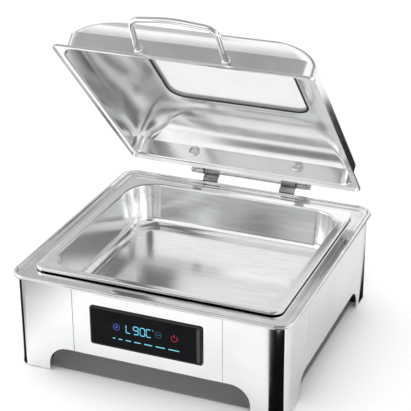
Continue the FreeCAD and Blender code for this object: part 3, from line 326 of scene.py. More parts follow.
def makeFinish(name, look):
    made = bpy.data.materials.new(name)
    made.use_nodes = True
    tree = made.node_tree
    surface = tree.nodes["Principled BSDF"]
    surface.inputs["Metallic"].default_value = look["metal"]
    place = tree.nodes.new("ShaderNodeTexCoord")
    turn = tree.nodes.new("ShaderNodeMapping")
    turn.inputs["Scale"].default_value = look.get("stretch", (1, 1, 1))
    cloud = tree.nodes.new("ShaderNodeTexNoise")
    cloud.inputs["Scale"].default_value = look["grain"]
    cloud.inputs["Detail"].default_value = 5
    tone = tree.nodes.new("ShaderNodeValToRGB")
    for stop, position, shade in zip(tone.color_ramp.elements, (0.3, 0.7), (look["dark"], look["light"])):
        stop.position = position
        stop.color = (*shade, 1)
    gloss = rangeNode(tree, toEnds=look["rough"])
    relief = tree.nodes.new("ShaderNodeBump")
    relief.inputs["Strength"].default_value = look["bump"]
    relief.inputs["Distance"].default_value = 0.001
    join = tree.links.new
    join(place.outputs["Object"], turn.inputs["Vector"])
    join(turn.outputs["Vector"], cloud.inputs["Vector"])
    join(cloud.outputs["Fac"], tone.inputs["Fac"])
    join(cloud.outputs["Fac"], gloss.inputs["Value"])
    join(cloud.outputs["Fac"], relief.inputs["Height"])
    join(tone.outputs["Color"], surface.inputs["Base Color"])
    join(gloss.outputs["Result"], surface.inputs["Roughness"])
    join(relief.outputs["Normal"], surface.inputs["Normal"])
    if "shine" in look:
        surface.inputs["Specular IOR Level"].default_value = look["shine"]
    if "glow" in look:
        surface.inputs["Emission Color"].default_value = (*look["glow"], 1)
        surface.inputs["Emission Strength"].default_value = look["strength"]
    if "alpha" in look:
        surface.inputs["Alpha"].default_value = look["alpha"]
    return made


finish = {name: makeFinish(name, look) for name, look in looks.items()}
slotOf = {row["node"]: row["material_slot"] for row in frame["record"]["subparts"]}
for name, node in nodes.items():
    node.data.materials.clear()
    node.data.materials.append(finish[slotOf[name]])
print("finishes ready")


# casing: four corner posts with arched legs, three flat panels
postLow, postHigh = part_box("corner_post_front_right")
casing = {
    "halfX": postHigh.x, "halfY": -postLow.y, "low": postLow.z, "top": postHigh.z, "corner": 0.019, "wall": 0.0012,
    "seamX": postLow.x, "seamY": -postHigh.y, "frontArch": 0.0385, "sideArch": 0.035, "archRound": 0.028,
    "legX": 0.049, "legY": 0.052, "edge": 0.0003, "seamStep": 0.0004, "lip": 0.008,
}


def archCutter(alongX, towards, leg, height):
    # A tall block whose upper corner beside the leg is rounded
    past = 0.03
    if alongX:
        cutter = block("archCutter", (min(0, towards * leg), -past, -past), (max(0, towards * leg), past, height))
    else:
        cutter = block("archCutter", (-past, min(0, towards * leg), -past), (past, max(0, towards * leg), height))
    axis = 0 if alongX else 1
    edit(cutter, "EDGE")
    pick(cutter, lambda edge: all(abs(vert.co[axis] - towards * leg) < 1e-6 and abs(vert.co.z - height) < 1e-6
                                  for vert in edge.verts), "edges")
    bpy.ops.mesh.bevel(offset=casing["archRound"], segments=14)
    letGo()
    return cutter


def cornerPost(name, handX, handY, node):
    size = (casing["halfX"], casing["halfY"], casing["corner"])
    piece = ringShell(name, [(*size, casing["low"]), (*size, casing["top"])])
    for distance, normal in ((casing["seamX"] * handX, (handX, 0, 0)), (casing["seamY"] * handY, (0, handY, 0))):
        edit(piece)
        bpy.ops.mesh.select_all(action="SELECT")
        bpy.ops.mesh.bisect(plane_co=Vector(normal) * abs(distance), plane_no=normal, clear_inner=True)
        letGo()
    modify(piece, "SOLIDIFY", thickness=casing["wall"], offset=-1)
    front = archCutter(True, handX, casing["halfX"] - casing["legX"], casing["frontArch"])
    front.location.y = handY * casing["halfY"]
    settle(front)
    carve(piece, front)
    flank = archCutter(False, handY, casing["halfY"] - casing["legY"], casing["sideArch"])
    flank.location.x = handX * casing["halfX"]
    settle(flank)
    carve(piece, flank)
    soften(piece, casing["edge"])
    return finishPiece(piece, "base", "polished_steel", [node])


for handX, sideName in ((-1, "left"), (1, "right")):
    for handY, endName in ((-1, "front"), (1, "rear")):
        cornerPost(f"{endName}{sideName.title()}Post", handX, handY, f"corner_post_{endName}_{sideName}")


def flatPanel(name, node):
    low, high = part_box(node)
    if node == "front_panel":
        low.x += casing["seamStep"]
    piece = block(name, low, high)
    lip = casing["lip"]
    middle = (low + high) / 2
    axis = 0 if high.x - low.x < high.y - low.y else 1
    inward = -1 if middle[axis] > 0 else 1
    edit(piece, "FACE")
    pick(piece, lambda face: face.normal[axis] * inward > 0.9, "faces")
    bpy.ops.mesh.inset(thickness=casing["wall"])
    pick(piece, lambda face: face.normal[axis] * inward > 0.9 and face.calc_center_median().z < low.z + lip, "faces")
    lifted = Vector((0, 0, 0))
    lifted[axis] = inward * lip
    bpy.ops.mesh.extrude_region_move(TRANSFORM_OT_translate={"value": lifted})
    letGo()
    soften(piece, casing["edge"])
    return finishPiece(piece, "base", "polished_steel", [node])


for name, node in (("frontPanel", "front_panel"), ("leftPanel", "left_panel"), ("rightPanel", "right_panel")):
    flatPanel(name, node)
print("casing ready")


# water pan with its rolled rim, and the food pan that rests in it
rimLow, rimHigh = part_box("water_pan")
rim = {"half": (rimHigh.x, rimHigh.y), "corner": 0.025, "top": rimHigh.z, "roll": 0.003,
       "shelf": 0.0026, "ledge": 0.0038,
       "mouth": (0.170, 0.1555), "mouthCorner": 0.045, "floor": rimLow.z + 0.001, "taper": 0.005,
       "fillet": 0.014, "sheet": 0.0008}


def inset(outline, distance, corner, height):
    return (outline[0] - distance, outline[1] - distance, corner, height)


def waterPan():
    half, corner, top = rim["half"], rim["corner"], rim["top"]
    rings = [inset(half, 0.0058, corner - 0.0058, top - 0.0060)]
    rings += arcRings(half, rim["roll"], top - rim["roll"], rim["roll"], -90, 150, 14, corner)
    shelfZ, ledgeZ = top - rim["shelf"], top - rim["ledge"]
    steps = ((0.0062, shelfZ + 0.0006), (0.0068, shelfZ), (0.0124, shelfZ), (0.0130, shelfZ - 0.0004),
             (0.0134, ledgeZ + 0.0002), (0.0140, ledgeZ))
    for distance, height in steps:
        rings.append(inset(half, distance, corner - distance, height))
    mouth, mouthCorner = rim["mouth"], rim["mouthCorner"]
    rings.append((mouth[0] + 0.002, mouth[1] + 0.002, mouthCorner + 0.002, ledgeZ))
    rings.append((mouth[0] + 0.0005, mouth[1] + 0.0005, mouthCorner + 0.0005, ledgeZ - 0.0006))
    rings.append((*mouth, mouthCorner, ledgeZ - 0.002))
    taper, fillet = rim["taper"], rim["fillet"]
    rings.append((mouth[0] - taper, mouth[1] - taper, mouthCorner - taper, rim["floor"] + fillet))
    outline = (mouth[0] - taper, mouth[1] - taper)
    for step in range(1, 7):
        turn = math.radians(15 * step)
        distance = fillet * (1 - math.cos(turn))
        height = rim["floor"] + fillet * (1 - math.sin(turn))
        rings.append(inset(outline, distance, mouthCorner - taper - distance, height))
    piece = ringShell("waterPan", rings, closeEnd=True)
    edit(piece)
    bpy.ops.mesh.select_all(action="SELECT")
    bpy.ops.mesh.normals_make_consistent(inside=False)
    letGo()
    modify(piece, "SOLIDIFY", thickness=rim["sheet"], offset=-1)
    return finishPiece(piece, "base", "polished_steel", ["water_pan"], angle=50, look="rimSteel")


panLow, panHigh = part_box("food_pan")
pan = {"half": (panHigh.x, panHigh.y), "corner": 0.015, "top": panHigh.z, "low": panLow.z, "hem": 0.006,
       "gap": 0.0021, "wall": 0.001, "flange": 0.014, "bead": 0.0016, "dip": 0.0008, "lip": 0.003,
       "mouthCorner": 0.044, "taper": 0.008, "fillet": 0.015}


def foodPan():
    half, corner, top = pan["half"], pan["corner"], pan["top"]
    rings = [inset(half, 0.0, corner, top - pan["hem"] + pan["gap"])]
    bead, dip, lip = pan["bead"], pan["dip"], pan["lip"]
    rings += arcRings(half, bead, top - bead, bead, 0, 90, 6, corner)
    for distance, drop in ((0.0030, 0.0001), (0.0045, dip), (0.0095, dip)):
        rings.append(inset(half, distance, corner - distance, top - drop))
    mouth = (half[0] - pan["flange"], half[1] - pan["flange"])
    mouthRound = pan["mouthCorner"]
    for step in range(7):
        turn = math.radians(15 * step)
        grow = lip * (1 - math.sin(turn))
        height = top - dip - lip * (1 - math.cos(turn))
        rings.append((mouth[0] + grow, mouth[1] + grow, mouthRound + grow, height))
    floor = pan["low"] + pan["wall"]
    taper, fillet = pan["taper"] * 0.8, pan["fillet"]
    outline = (mouth[0] - taper, mouth[1] - taper)
    rings.append((*outline, mouthRound - taper, floor + fillet))
    for step in range(1, 9):
        turn = math.radians(90 * step / 8)
        distance = fillet * (1 - math.cos(turn)) + 0.001 * step / 8
        height = floor + fillet * (1 - math.sin(turn))
        rings.append(inset(outline, distance, mouthRound - taper - distance, height))
    rings.append(inset(outline, fillet + 0.006, mouthRound - taper - fillet - 0.006, floor))
    piece = ringShell("foodPan", rings, closeEnd=True)
    modify(piece, "SOLIDIFY", thickness=pan["wall"] * 0.8, offset=-1)
    return finishPiece(piece, "base", "satin_steel", ["food_pan"], angle=50)


waterPan()
foodPan()
print("pans ready")


# control panel: modelled flat, then stood on the front
glassLow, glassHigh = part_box("control_glass")
bezelLow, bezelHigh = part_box("control_bezel")
panel = {"middle": (glassLow.z + glassHigh.z) / 2, "stand": glassHigh.y - glassLow.y,
         "half": ((glassHigh.x - glassLow.x) / 2, (glassHigh.z - glassLow.z) / 2),
         "bezel": bezelHigh.x - glassHigh.x, "lamp": 0.0003}
standUp = Matrix.Translation((0, glassHigh.y, panel["middle"])) @ Matrix.Rotation(math.radians(90), 4, "X")


def standPiece(piece):
    piece.matrix_world = standUp @ piece.matrix_world
    settle(piece)
    return piece


def controlGlass():
    half, stand, corner = panel["half"], panel["stand"], 0.001
    rings = [(*half, corner, 0), (*half, corner, stand - 0.0006),
             inset(half, 0.0002, corner - 0.0002, stand - 0.0002), inset(half, 0.0007, corner - 0.0007, stand)]
    piece = ringShell("controlGlass", rings, closeStart=True, closeEnd=True)
    finishPiece(standPiece(piece), "base", "black_glass", ["control_glass"])
    width = panel["bezel"]
    outer = (half[0] + width, half[1] + width)
    high = bezelHigh.y - bezelLow.y
    rings = [(*outer, corner + width, 0), (*outer, corner + width, high - 0.0008),
             inset(outer, 0.0008, corner + width - 0.0008, high), inset(outer, width - 0.0004, corner + 0.0004, high),
             inset(outer, width - 0.0001, corner + 0.0001, high - 0.0003),
             inset(outer, width - 0.0001, corner + 0.0001, 0), (*outer, corner + width, 0)]
    piece = ringShell("controlBezel", rings)
    finishPiece(standPiece(piece), "base", "silver_plastic", ["control_bezel"])
    edge = block("glassEdge", (half[0] - 0.0055, -half[1] + 0.001, stand - 0.0004),
                 (half[0] - 0.0008, half[1] - 0.001, stand + 0.0002))
    soften(edge, 0.0002)
    finishPiece(standPiece(edge), "base", "black_glass", look="panelEdge")


def addBar(piece, centre, wide, high):
    # Adds a hexagonal-ended bar to a piece that is in edit mode
    longer, across = max(wide, high), min(wide, high)
    lift = panel["stand"] + panel["lamp"] / 2
    bpy.ops.mesh.primitive_cube_add(size=1, location=(centre[0], centre[1], lift))
    fresh = picked(piece)
    size = (wide, high, panel["lamp"])
    bpy.ops.transform.resize(value=size, center_override=(centre[0], centre[1], lift))
    pickNumbers(piece, fresh)
    bpy.ops.mesh.bevel(offset=across * 0.35 if longer > 2 * across else across * 0.1, segments=1)


def startGroup(name, centre, wide, high):
    letGo()
    bpy.ops.mesh.primitive_cube_add(size=1, location=(centre[0], centre[1], panel["stand"] + panel["lamp"] / 2))
    piece = bpy.context.object
    piece.name = name
    piece.scale = (wide, high, panel["lamp"])
    settle(piece)
    edit(piece)
    return piece


digits = {"high": 0.0115, "wide": 0.0066, "stroke": 0.0010, "rise": 0.0042,
          "places": (-0.0243, -0.0135, -0.0039, 0.0050), "lit": ("def", "abcdfg", "abcdef", "adef")}
strokes = {"a": (0, 0.5, 1, 0), "b": (0.5, 0.25, 0, 1), "c": (0.5, -0.25, 0, 1), "d": (0, -0.5, 1, 0),
           "e": (-0.5, -0.25, 0, 1), "f": (-0.5, 0.25, 0, 1), "g": (0, 0, 1, 0)}


def digitLamps():
    piece = startGroup("digitLamps", (digits["places"][3] + 0.006, digits["rise"] + 0.0054), 0.0010, 0.0010)
    stroke = digits["stroke"]
    for place, lit in zip(digits["places"], digits["lit"]):
        for letter in lit:
            across, up, isFlat, isTall = strokes[letter]
            centre = (place + across * digits["wide"], digits["rise"] + up * digits["high"])
            wide = digits["wide"] - stroke * 0.9 if isFlat else stroke
            high = digits["high"] / 2 - stroke * 0.9 if isTall else stroke
            addBar(piece, centre, wide, high)
    letGo()
    finishPiece(standPiece(piece), "base", "lamp_cyan")


levelBars = {"count": 7, "first": -0.0455, "firstLong": 0.0036, "growth": 0.0020, "gap": 0.00475, "drop": -0.0135,
             "high": 0.0011}


def levelLamps():
    left = levelBars["first"] - levelBars["firstLong"] / 2
    piece = None
    for step in range(levelBars["count"]):
        long = levelBars["firstLong"] + step * levelBars["growth"]
        centre = (left + long / 2, levelBars["drop"])
        if piece is None:
            piece = startGroup("levelBars", centre, long, levelBars["high"])
        else:
            addBar(piece, centre, long, levelBars["high"])
        left += long + levelBars["gap"]
    letGo()
    finishPiece(standPiece(piece), "base", "lamp_cyan", look="barCyan")


def roundKey(name, across, up, radius, bars, look, gap=0):
    # A thin ring with bars inside it; a gap in degrees opens the ring at the top
    letGo()
    lift = panel["stand"] + 0.0002
    bpy.ops.mesh.primitive_torus_add(major_radius=radius, minor_radius=0.00028, major_segments=48, minor_segments=8,
                                     location=(across, up, lift))
    piece = bpy.context.object
    piece.name = name
    settle(piece)
    edit(piece)
    if gap:
        limit = math.radians(gap / 2)
        pick(piece, lambda vert: abs(math.atan2(vert.co.x - across, vert.co.y - up)) < limit)
        bpy.ops.mesh.delete(type="VERT")
        bpy.ops.mesh.select_all(action="SELECT")
        bpy.ops.mesh.fill_holes(sides=0)
    for offsetX, offsetY, wide, high in bars:
        addBar(piece, (across + offsetX, up + offsetY), wide, high)
    letGo()
    finishPiece(standPiece(piece), "base", "lamp_cyan", look=look)


controlGlass()
digitLamps()
levelLamps()
roundKey("plusKey", -0.0415, 0.0040, 0.0046, ((0, 0, 0.0050, 0.0008), (0, 0, 0.0008, 0.0050)), "keyBlue")
roundKey("minusKey", 0.0186, 0.0047, 0.0044, ((0, 0, 0.0046, 0.0008),), "keyTeal")
roundKey("powerKey", 0.0415, 0.0040, 0.0043, ((0, 0.0036, 0.0009, 0.0050),), "keyRed", gap=70)
print("control panel ready")


# lid: modelled closed about its own flange, then set at the frame's open angle
paneLow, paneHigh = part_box("lid_window")
openTurn = math.radians(-hinge["range_deg"][0])
lid = {"half": (0.1835, 0.178), "corner": 0.012, "hem": 0.0025, "flange": 0.010, "wall": 0.001, "apron": 0.027,
       "apronCorner": 0.024, "topCorner": 0.046, "roof": 0.074, "arc": 70, "paneMiddle": 0.0696,
       "window": (0.107, 0.080), "windowCorner": 0.022}
glazing = {"half": (0.109, 0.082), "corner": 0.024, "thick": 0.004, "chamfer": 0.0006, "sealHalf": (0.110, 0.083),
           "sealCorner": 0.025, "lip": 0.0035, "groove": 0.0011, "sealEdge": 0.001}
lidTurn = Matrix.Rotation(-openTurn, 4, "X")
lidPlace = Matrix.Translation((paneLow + paneHigh) / 2) @ lidTurn @ Matrix.Translation((0, 0, -lid["paneMiddle"]))


def setOnLid(piece):
    piece.matrix_world = lidPlace @ piece.matrix_world
    settle(piece)
    return piece


def lidShell():
    half, corner, flange = lid["half"], lid["corner"], lid["flange"]
    rings = [inset(half, 0.0, corner, -lid["hem"])]
    rings += arcRings(half, 0.0009, 0.0001, 0.0009, 0, 90, 4, corner)
    apron = (half[0] - flange, half[1] - flange)
    apronRound = lid["apronCorner"]
    rings.append((apron[0] + 0.0014, apron[1] + 0.0014, apronRound + 0.0014, 0.001))
    rings.append((apron[0] + 0.0004, apron[1] + 0.0004, apronRound + 0.0004, 0.0014))
    rings.append((*apron, apronRound, 0.0024))
    rings.append((*apron, apronRound, lid["apron"] - 0.0006))
    sweep = math.radians(lid["arc"])
    radius = (lid["roof"] - lid["apron"]) / (1 - math.cos(sweep))
    steps = 18
    for step in range(steps):
        turn = sweep * (1 - step / steps)
        distance = radius * (math.sin(sweep) - math.sin(turn))
        height = lid["apron"] + radius * (math.cos(turn) - math.cos(sweep))
        rounding = apronRound + (lid["topCorner"] - apronRound) * step / steps
        rings.append(inset(apron, distance, rounding, height))
    window, windowRound = lid["window"], lid["windowCorner"]
    rings.append((window[0] + 0.0012, window[1] + 0.0012, windowRound + 0.0012, lid["roof"] - 0.00002))
    rings.append((*window, windowRound, lid["roof"]))
    piece = ringShell("lidShell", rings)
    modify(piece, "SOLIDIFY", thickness=lid["wall"] * 0.95, offset=-1)
    return finishPiece(setOnLid(piece), "lid", "polished_steel", ["lid_shell"], angle=16, look="lidSteel")


def lidWindow():
    half, corner, chamfer = glazing["half"], glazing["corner"], glazing["chamfer"]
    low, high = lid["paneMiddle"] - glazing["thick"] / 2, lid["paneMiddle"] + glazing["thick"] / 2
    rings = [inset(half, chamfer, corner - chamfer, low), (*half, corner, low + chamfer),
             (*half, corner, high - chamfer), inset(half, chamfer, corner - chamfer, high)]
    piece = ringShell("lidWindow", rings, closeStart=True, closeEnd=True)
    finishPiece(setOnLid(piece), "lid", "clear_glass", ["lid_window"])
    outer, outerRound, lip, groove = (glazing[key] for key in ("sealHalf", "sealCorner", "lip", "groove"))
    top, under = high + glazing["sealEdge"], low - glazing["sealEdge"]
    section = ((lip, under), (chamfer, under), (0.0, under + chamfer), (0.0, top - chamfer), (chamfer, top),
               (lip, top), (lip, high), (groove, high), (groove, low), (lip, low), (lip, under))
    rings = [inset(outer, distance, outerRound - distance, height) for distance, height in section]
    piece = ringShell("windowSeal", rings)
    finishPiece(setOnLid(piece), "lid", "black_rubber", ["window_seal"])


lidShell()
lidWindow()
print("lid ready")


# handle: a bent bar on two collars, held by screws from inside
grip = {"radius": 0.004, "rootX": 0.061, "rootY": -0.168, "collar": 0.003, "stub": 0.008, "rise": 0.012,
        "cornerX": 0.058, "reach": 0.048, "middle": 0.055, "tilt": math.radians(15), "bend": 0.015}


def bendPoints(corners, bends):
    # Bezier points for straight runs with round bends: (place, handle back, handle ahead)
    points = [(corners[0], None, None)]
    for index, bend in enumerate(bends, 1):
        corner = corners[index]
        back = (corners[index - 1] - corner).normalized()
        ahead = (corners[index + 1] - corner).normalized()
        halfTurn = (math.pi - back.angle(ahead)) / 2
        run = min((corners[index - 1] - corner).length, (corners[index + 1] - corner).length)
        reach = min(bend * math.tan(halfTurn), 0.45 * run)
        radius = reach / math.tan(halfTurn)
        pull = 4 / 3 * math.tan(halfTurn / 2) * radius
        points.append((corner + back * reach, None, corner + back * (reach - pull)))
        points.append((corner + ahead * reach, corner + ahead * (reach - pull), None))
    points.append((corners[-1], None, None))
    return points


def bentBar(name, corners, bends, radius):
    letGo()
    bpy.ops.curve.primitive_bezier_curve_add()
    piece = bpy.context.object
    piece.name = name
    points = bendPoints(corners, bends)
    run = piece.data.splines[0].bezier_points
    run.add(len(points) - len(run))
    for number, (point, (place, back, ahead)) in enumerate(zip(run, points)):
        point.handle_left_type = point.handle_right_type = "FREE"
        point.co = place
        before = points[max(number - 1, 0)][0]
        after = points[min(number + 1, len(points) - 1)][0]
        point.handle_left = back or place.lerp(before, 0.33)
        point.handle_right = ahead or place.lerp(after, 0.33)
    piece.data.resolution_u = 12
    piece.data.bevel_depth = radius
    piece.data.bevel_resolution = 8
    piece.data.use_fill_caps = True
    bpy.ops.object.convert(target="MESH")
    outwards(piece)
    return piece


def handleBar():
    rootY = grip["rootY"] - grip["collar"]
    stubY = rootY - grip["stub"]

    def point(across, reach):
        return Vector((across, stubY - reach * math.cos(grip["tilt"]), grip["rise"] + reach * math.sin(grip["tilt"])))

    root = Vector((grip["rootX"], rootY, grip["rise"]))
    right = [root, point(grip["rootX"], 0), point(grip["cornerX"], grip["reach"])]
    left = [Vector((-place.x, place.y, place.z)) for place in reversed(right)]
    corners = right + [point(0, grip["middle"])] + left
    bend = grip["bend"]
    piece = bentBar("handleBar", corners, [2 * bend, bend, 10 * bend, bend, 2 * bend], grip["radius"])
    finishPiece(setOnLid(piece), "lid", "bright_chrome", ["handle_bar"])
    collars = []
    high = grip["collar"]
    for hand in (-1, 1):
        rings = [(0.0062, 0), (0.0062, high * 0.4), (0.0057, high * 0.8), (0.0048, high), (0.0042, high)]
        place = (hand * grip["rootX"], grip["rootY"], grip["rise"])
        collars.append(roundPiece("handleCollar", rings, place, (0, -1, 0)))
    piece = joinInto(*collars)
    piece.name = "handleCollars"
    finishPiece(setOnLid(piece), "lid", "bright_chrome", ["handle_bosses"])


def crossScrew(radius, high, place, direction):
    # A domed screw head with a cross cut into it
    rings = [(radius, 0), (radius, high * 0.45), (radius * 0.93, high * 0.75), (radius * 0.7, high * 0.94),
             (radius * 0.4, high)]
    piece = roundPiece("screwHead", rings, (0, 0, 0), (0, 0, 1), 32)
    for wide, long in ((radius * 0.2, radius * 1.15), (radius * 1.15, radius * 0.2)):
        cutter = block("cross", (-wide / 2, -long / 2, high * 0.45), (wide / 2, long / 2, high * 2))
        carve(piece, cutter)
    soften(piece, radius * 0.03)
    piece.matrix_world = Matrix.Translation(place) @ Vector(direction).to_track_quat("Z", "Y").to_matrix().to_4x4()
    settle(piece)
    return piece


def screwSet(name, radius, high, places, direction, body, replaced, onLid=False):
    heads = [crossScrew(radius, high, place, direction) for place in places]
    piece = joinInto(*heads)
    piece.name = name
    if onLid:
        setOnLid(piece)
    finishPiece(piece, body, "bright_chrome", replaced, look="screwSteel")


handleBar()
armMiddle = 0.08285
armSpots = [(hand * armMiddle, 0.167, 0.0185) for hand in (-1, 1)]
gripSpots = [(hand * grip["rootX"], -0.167, grip["rise"]) for hand in (-1, 1)]
screwSet("armScrews", 0.008, 0.003, armSpots, (0, -1, 0), "lid", ["arm_screws"], True)
screwSet("handleScrews", 0.0055, 0.0032, gripSpots, (0, 1, 0), "lid", ["handle_screws"], True)
print("handle ready")


# hinge: brackets on the base, arms on the lid, one rod through both
pivot = Vector(hinge["pos_m"])
knuckle = {"radius": 0.0052, "inner": 0.050, "long": 0.024, "wall": 0.003, "screwLow": 0.102, "screwHigh": 0.122}
arm = {"inner": 0.0757, "long": 0.0143, "radius": 0.0058, "wall": 0.003, "eyeY": 0.2115, "eyeZ": 0.007}


def barrel(name, radius, long, start, direction):
    # A hinge barrel: chamfered ends and a fine groove near each
    edge, waist = radius * 0.12, radius * 0.93
    rings = [(radius - edge, 0), (radius, edge), (radius, long * 0.14), (waist, long * 0.16), (waist, long * 0.20),
             (radius, long * 0.22), (radius, long * 0.80), (waist, long * 0.82), (waist, long * 0.86),
             (radius, long * 0.88), (radius, long - edge), (radius - edge, long)]
    return roundPiece(name, rings, start, direction)


def hingeBracket(sideName):
    wall = knuckle["wall"]
    low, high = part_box(f"hinge_bracket_{sideName}")
    plateY = casing["halfY"] + wall / 2
    crankY = rim["half"][1] + 0.0015 + wall / 2
    crankZ = rim["top"] - 0.006 - 0.0015
    path = [(plateY, low.z), (plateY, crankZ - 1.6 * wall), (crankY, crankZ - wall * 0.6),
            (crankY, pivot.z - 0.0085), (pivot.y - 0.0015, pivot.z - 0.0035)]
    band = strip("hingeBand", path, low.x, high.x, wall, 0.0025)
    tube = barrel("hingeBarrel", knuckle["radius"], knuckle["long"], (low.x, pivot.y, pivot.z), (1, 0, 0))
    piece = joinInto(band, tube)
    piece.name = f"{sideName}Bracket"
    # The brackets take the darker steel, which is painted shade
    finishPiece(piece, "base", "bright_chrome", [f"hinge_bracket_{sideName}"], look="hingeSteelPaintedShade")


def hingeArm(hand, sideName):
    start = arm["inner"] if hand > 0 else -arm["inner"] - arm["long"]
    path = [(0.1695, 0.0255), (0.1695, 0.0085), (0.175, 0.0070), (arm["eyeY"] - 0.003, arm["eyeZ"])]
    band = strip("armBand", path, start, start + arm["long"], arm["wall"], 0.003)
    tube = barrel("armEye", arm["radius"], arm["long"], (start, arm["eyeY"], arm["eyeZ"]), (1, 0, 0))
    piece = joinInto(band, tube)
    piece.name = f"{sideName}Arm"
    finishPiece(setOnLid(piece), "lid", "bright_chrome", [f"hinge_arm_{sideName}"], look="rodSteelPaintedShade")


def rodParts():
    low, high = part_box("hinge_rod")
    long = high.x - low.x
    radius = (high.z - low.z) / 2
    rod = roundPiece("hingeRod", [(radius * 0.8, 0), (radius, 0.0008), (radius, long - 0.0008), (radius * 0.8, long)],
                     (low.x, pivot.y, pivot.z), (1, 0, 0), 32)
    finishPiece(rod, "base", "bright_chrome", ["hinge_rod"], look="rodSteelPaintedShade")
    washLow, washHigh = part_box("friction_washers")
    capLow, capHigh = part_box("rod_end_caps")
    washers, caps = [], []
    for hand in (-1, 1):
        inner = knuckle["inner"] + knuckle["long"]
        thick = washHigh.x - inner
        radius = (washHigh.z - washLow.z) / 2
        rings = [(radius * 0.94, 0), (radius, thick * 0.25), (radius, thick * 0.75), (radius * 0.94, thick)]
        washers.append(roundPiece("washer", rings, (hand * inner, pivot.y, pivot.z), (hand, 0, 0)))
        radius = (capHigh.z - capLow.z) / 2
        begin = arm["inner"] + arm["long"] + 0.0002
        long = capHigh.x - begin
        rings = [(radius * 0.9, 0)]
        for ridge in range(4):
            at = long * (0.06 + 0.2 * ridge)
            rings += [(radius, at), (radius, at + long * 0.11), (radius * 0.9, at + long * 0.14),
                      (radius * 0.9, at + long * 0.17)]
        rings += [(radius * 0.9, long * 0.9), (radius * 0.7, long)]
        caps.append(roundPiece("cap", rings, (hand * begin, pivot.y, pivot.z), (hand, 0, 0)))
    piece = joinInto(*washers)
    piece.name = "frictionWashers"
    finishPiece(piece, "base", "black_plastic", ["friction_washers"])
    piece = joinInto(*caps)
    piece.name = "rodEndCaps"
    finishPiece(piece, "base", "bright_chrome", ["rod_end_caps"], look="rodSteelPaintedShade")


for hand, sideName in ((-1, "left"), (1, "right")):
    hingeBracket(sideName)
    hingeArm(hand, sideName)
rodParts()
bracketX = knuckle["inner"] + knuckle["long"] / 2
bracketFace = casing["halfY"] + knuckle["wall"]
screwHeights = (knuckle["screwLow"], knuckle["screwHigh"])
bracketSpots = [(hand * bracketX, bracketFace, height) for hand in (-1, 1) for height in screwHeights]
screwSet("bracketScrews", 0.0046, 0.0026, bracketSpots, (0, 1, 0), "base", ["bracket_screws"])
print("hinge ready")


# room, light and camera
def stagePlate(name, corners, tone, gloss=0.9):
    # A flat plate through its corners
    letGo()
    bpy.ops.mesh.primitive_circle_add(vertices=len(corners), radius=1, fill_type="NGON")
    plate = bpy.context.object
    plate.name = name
    for vert, corner in zip(plate.data.vertices, corners):
        vert.co = corner
    look = bpy.data.materials.new(name)
    look.use_nodes = True
    surface = look.node_tree.nodes["Principled BSDF"]
    surface.inputs["Base Color"].default_value = (tone, tone, tone, 1)
    surface.inputs["Roughness"].default_value = gloss
    surface.inputs["Specular IOR Level"].default_value = 0.1
    plate.data.materials.append(look)
    return plate


def hiddenCard(name, corners, tone):
    # A plate that shows only in reflections, where it is a painted reflection in the steel
    card = stagePlate(name, corners, tone)
    card.visible_camera = card.visible_diffuse = card.visible_shadow = card.visible_transmission = False
    return card


def fadeCard(name, corners, tone, axis, clear, full):
    # A hidden card, a painted reflection, that fades from clear to full along one axis
    tree = hiddenCard(name, corners, tone).data.materials[0].node_tree
    where = tree.nodes.new("ShaderNodeTexCoord")
    split = tree.nodes.new("ShaderNodeSeparateXYZ")
    fade = rangeNode(tree, (clear, full), smooth=True)
    tree.links.new(where.outputs["Object"], split.inputs["Vector"])
    tree.links.new(split.outputs[axis], fade.inputs["Value"])
    tree.links.new(fade.outputs["Result"], tree.nodes["Principled BSDF"].inputs["Alpha"])


def flatCorners(lowX, highX, lowY, highY, height):
    return [(lowX, lowY, height), (highX, lowY, height), (highX, highY, height), (lowX, highY, height)]


def uprightCorners(lowX, highX, away, lowZ, highZ):
    return [(lowX, away, lowZ), (highX, away, lowZ), (highX, away, highZ), (lowX, away, highZ)]


# Hidden cards lying on the floor, seen only in the polished steel as painted dark reflections: tone, height, corners
floorCards = {
    "frontRightCard": (0.0, 0.0008, [(0.171, -0.186), (0.070, -0.480), (0.520, -0.285), (0.190, -0.178)]),
    "frontLeftCard": (0.0, 0.0008, [(-0.183, -0.185), (-0.480, -0.286), (-0.520, -0.085), (-0.193, -0.176)]),
    "backRightCard": (0.0, 0.0008, [(0.196, 0.148), (0.262, 0.440), (0.120, 0.470), (0.187, 0.178)]),
    "lidCard": (0.0, 0.0008, [(0.20, 0.475), (0.60, 0.475), (0.70, 0.95), (0.25, 0.95)]),
    "sideCard": (0.76, 0.0004, [(0.192, -0.205), (0.42, -0.205), (0.42, 0.46), (0.192, 0.46)]),
}
# The mouth card's painted glow: its place in the lid, its tone and its strength from side to side
glow = {"halfX": 0.16, "nearY": -0.02, "farY": 0.168, "drop": -0.012, "tone": 0.02,
        "ends": (0.16, 0.20), "between": ((0.12, 0.18), (0.24, 0.80), (0.45, 0.84), (0.82, 0.74), (0.93, 0.30))}
# Corners of the hidden black skirt that casts painted shade on the floor under the casing
shadeSkirtCorners = ((-0.185, -0.176), (0.185, -0.176), (0.185, 0.176), (-0.185, 0.176))


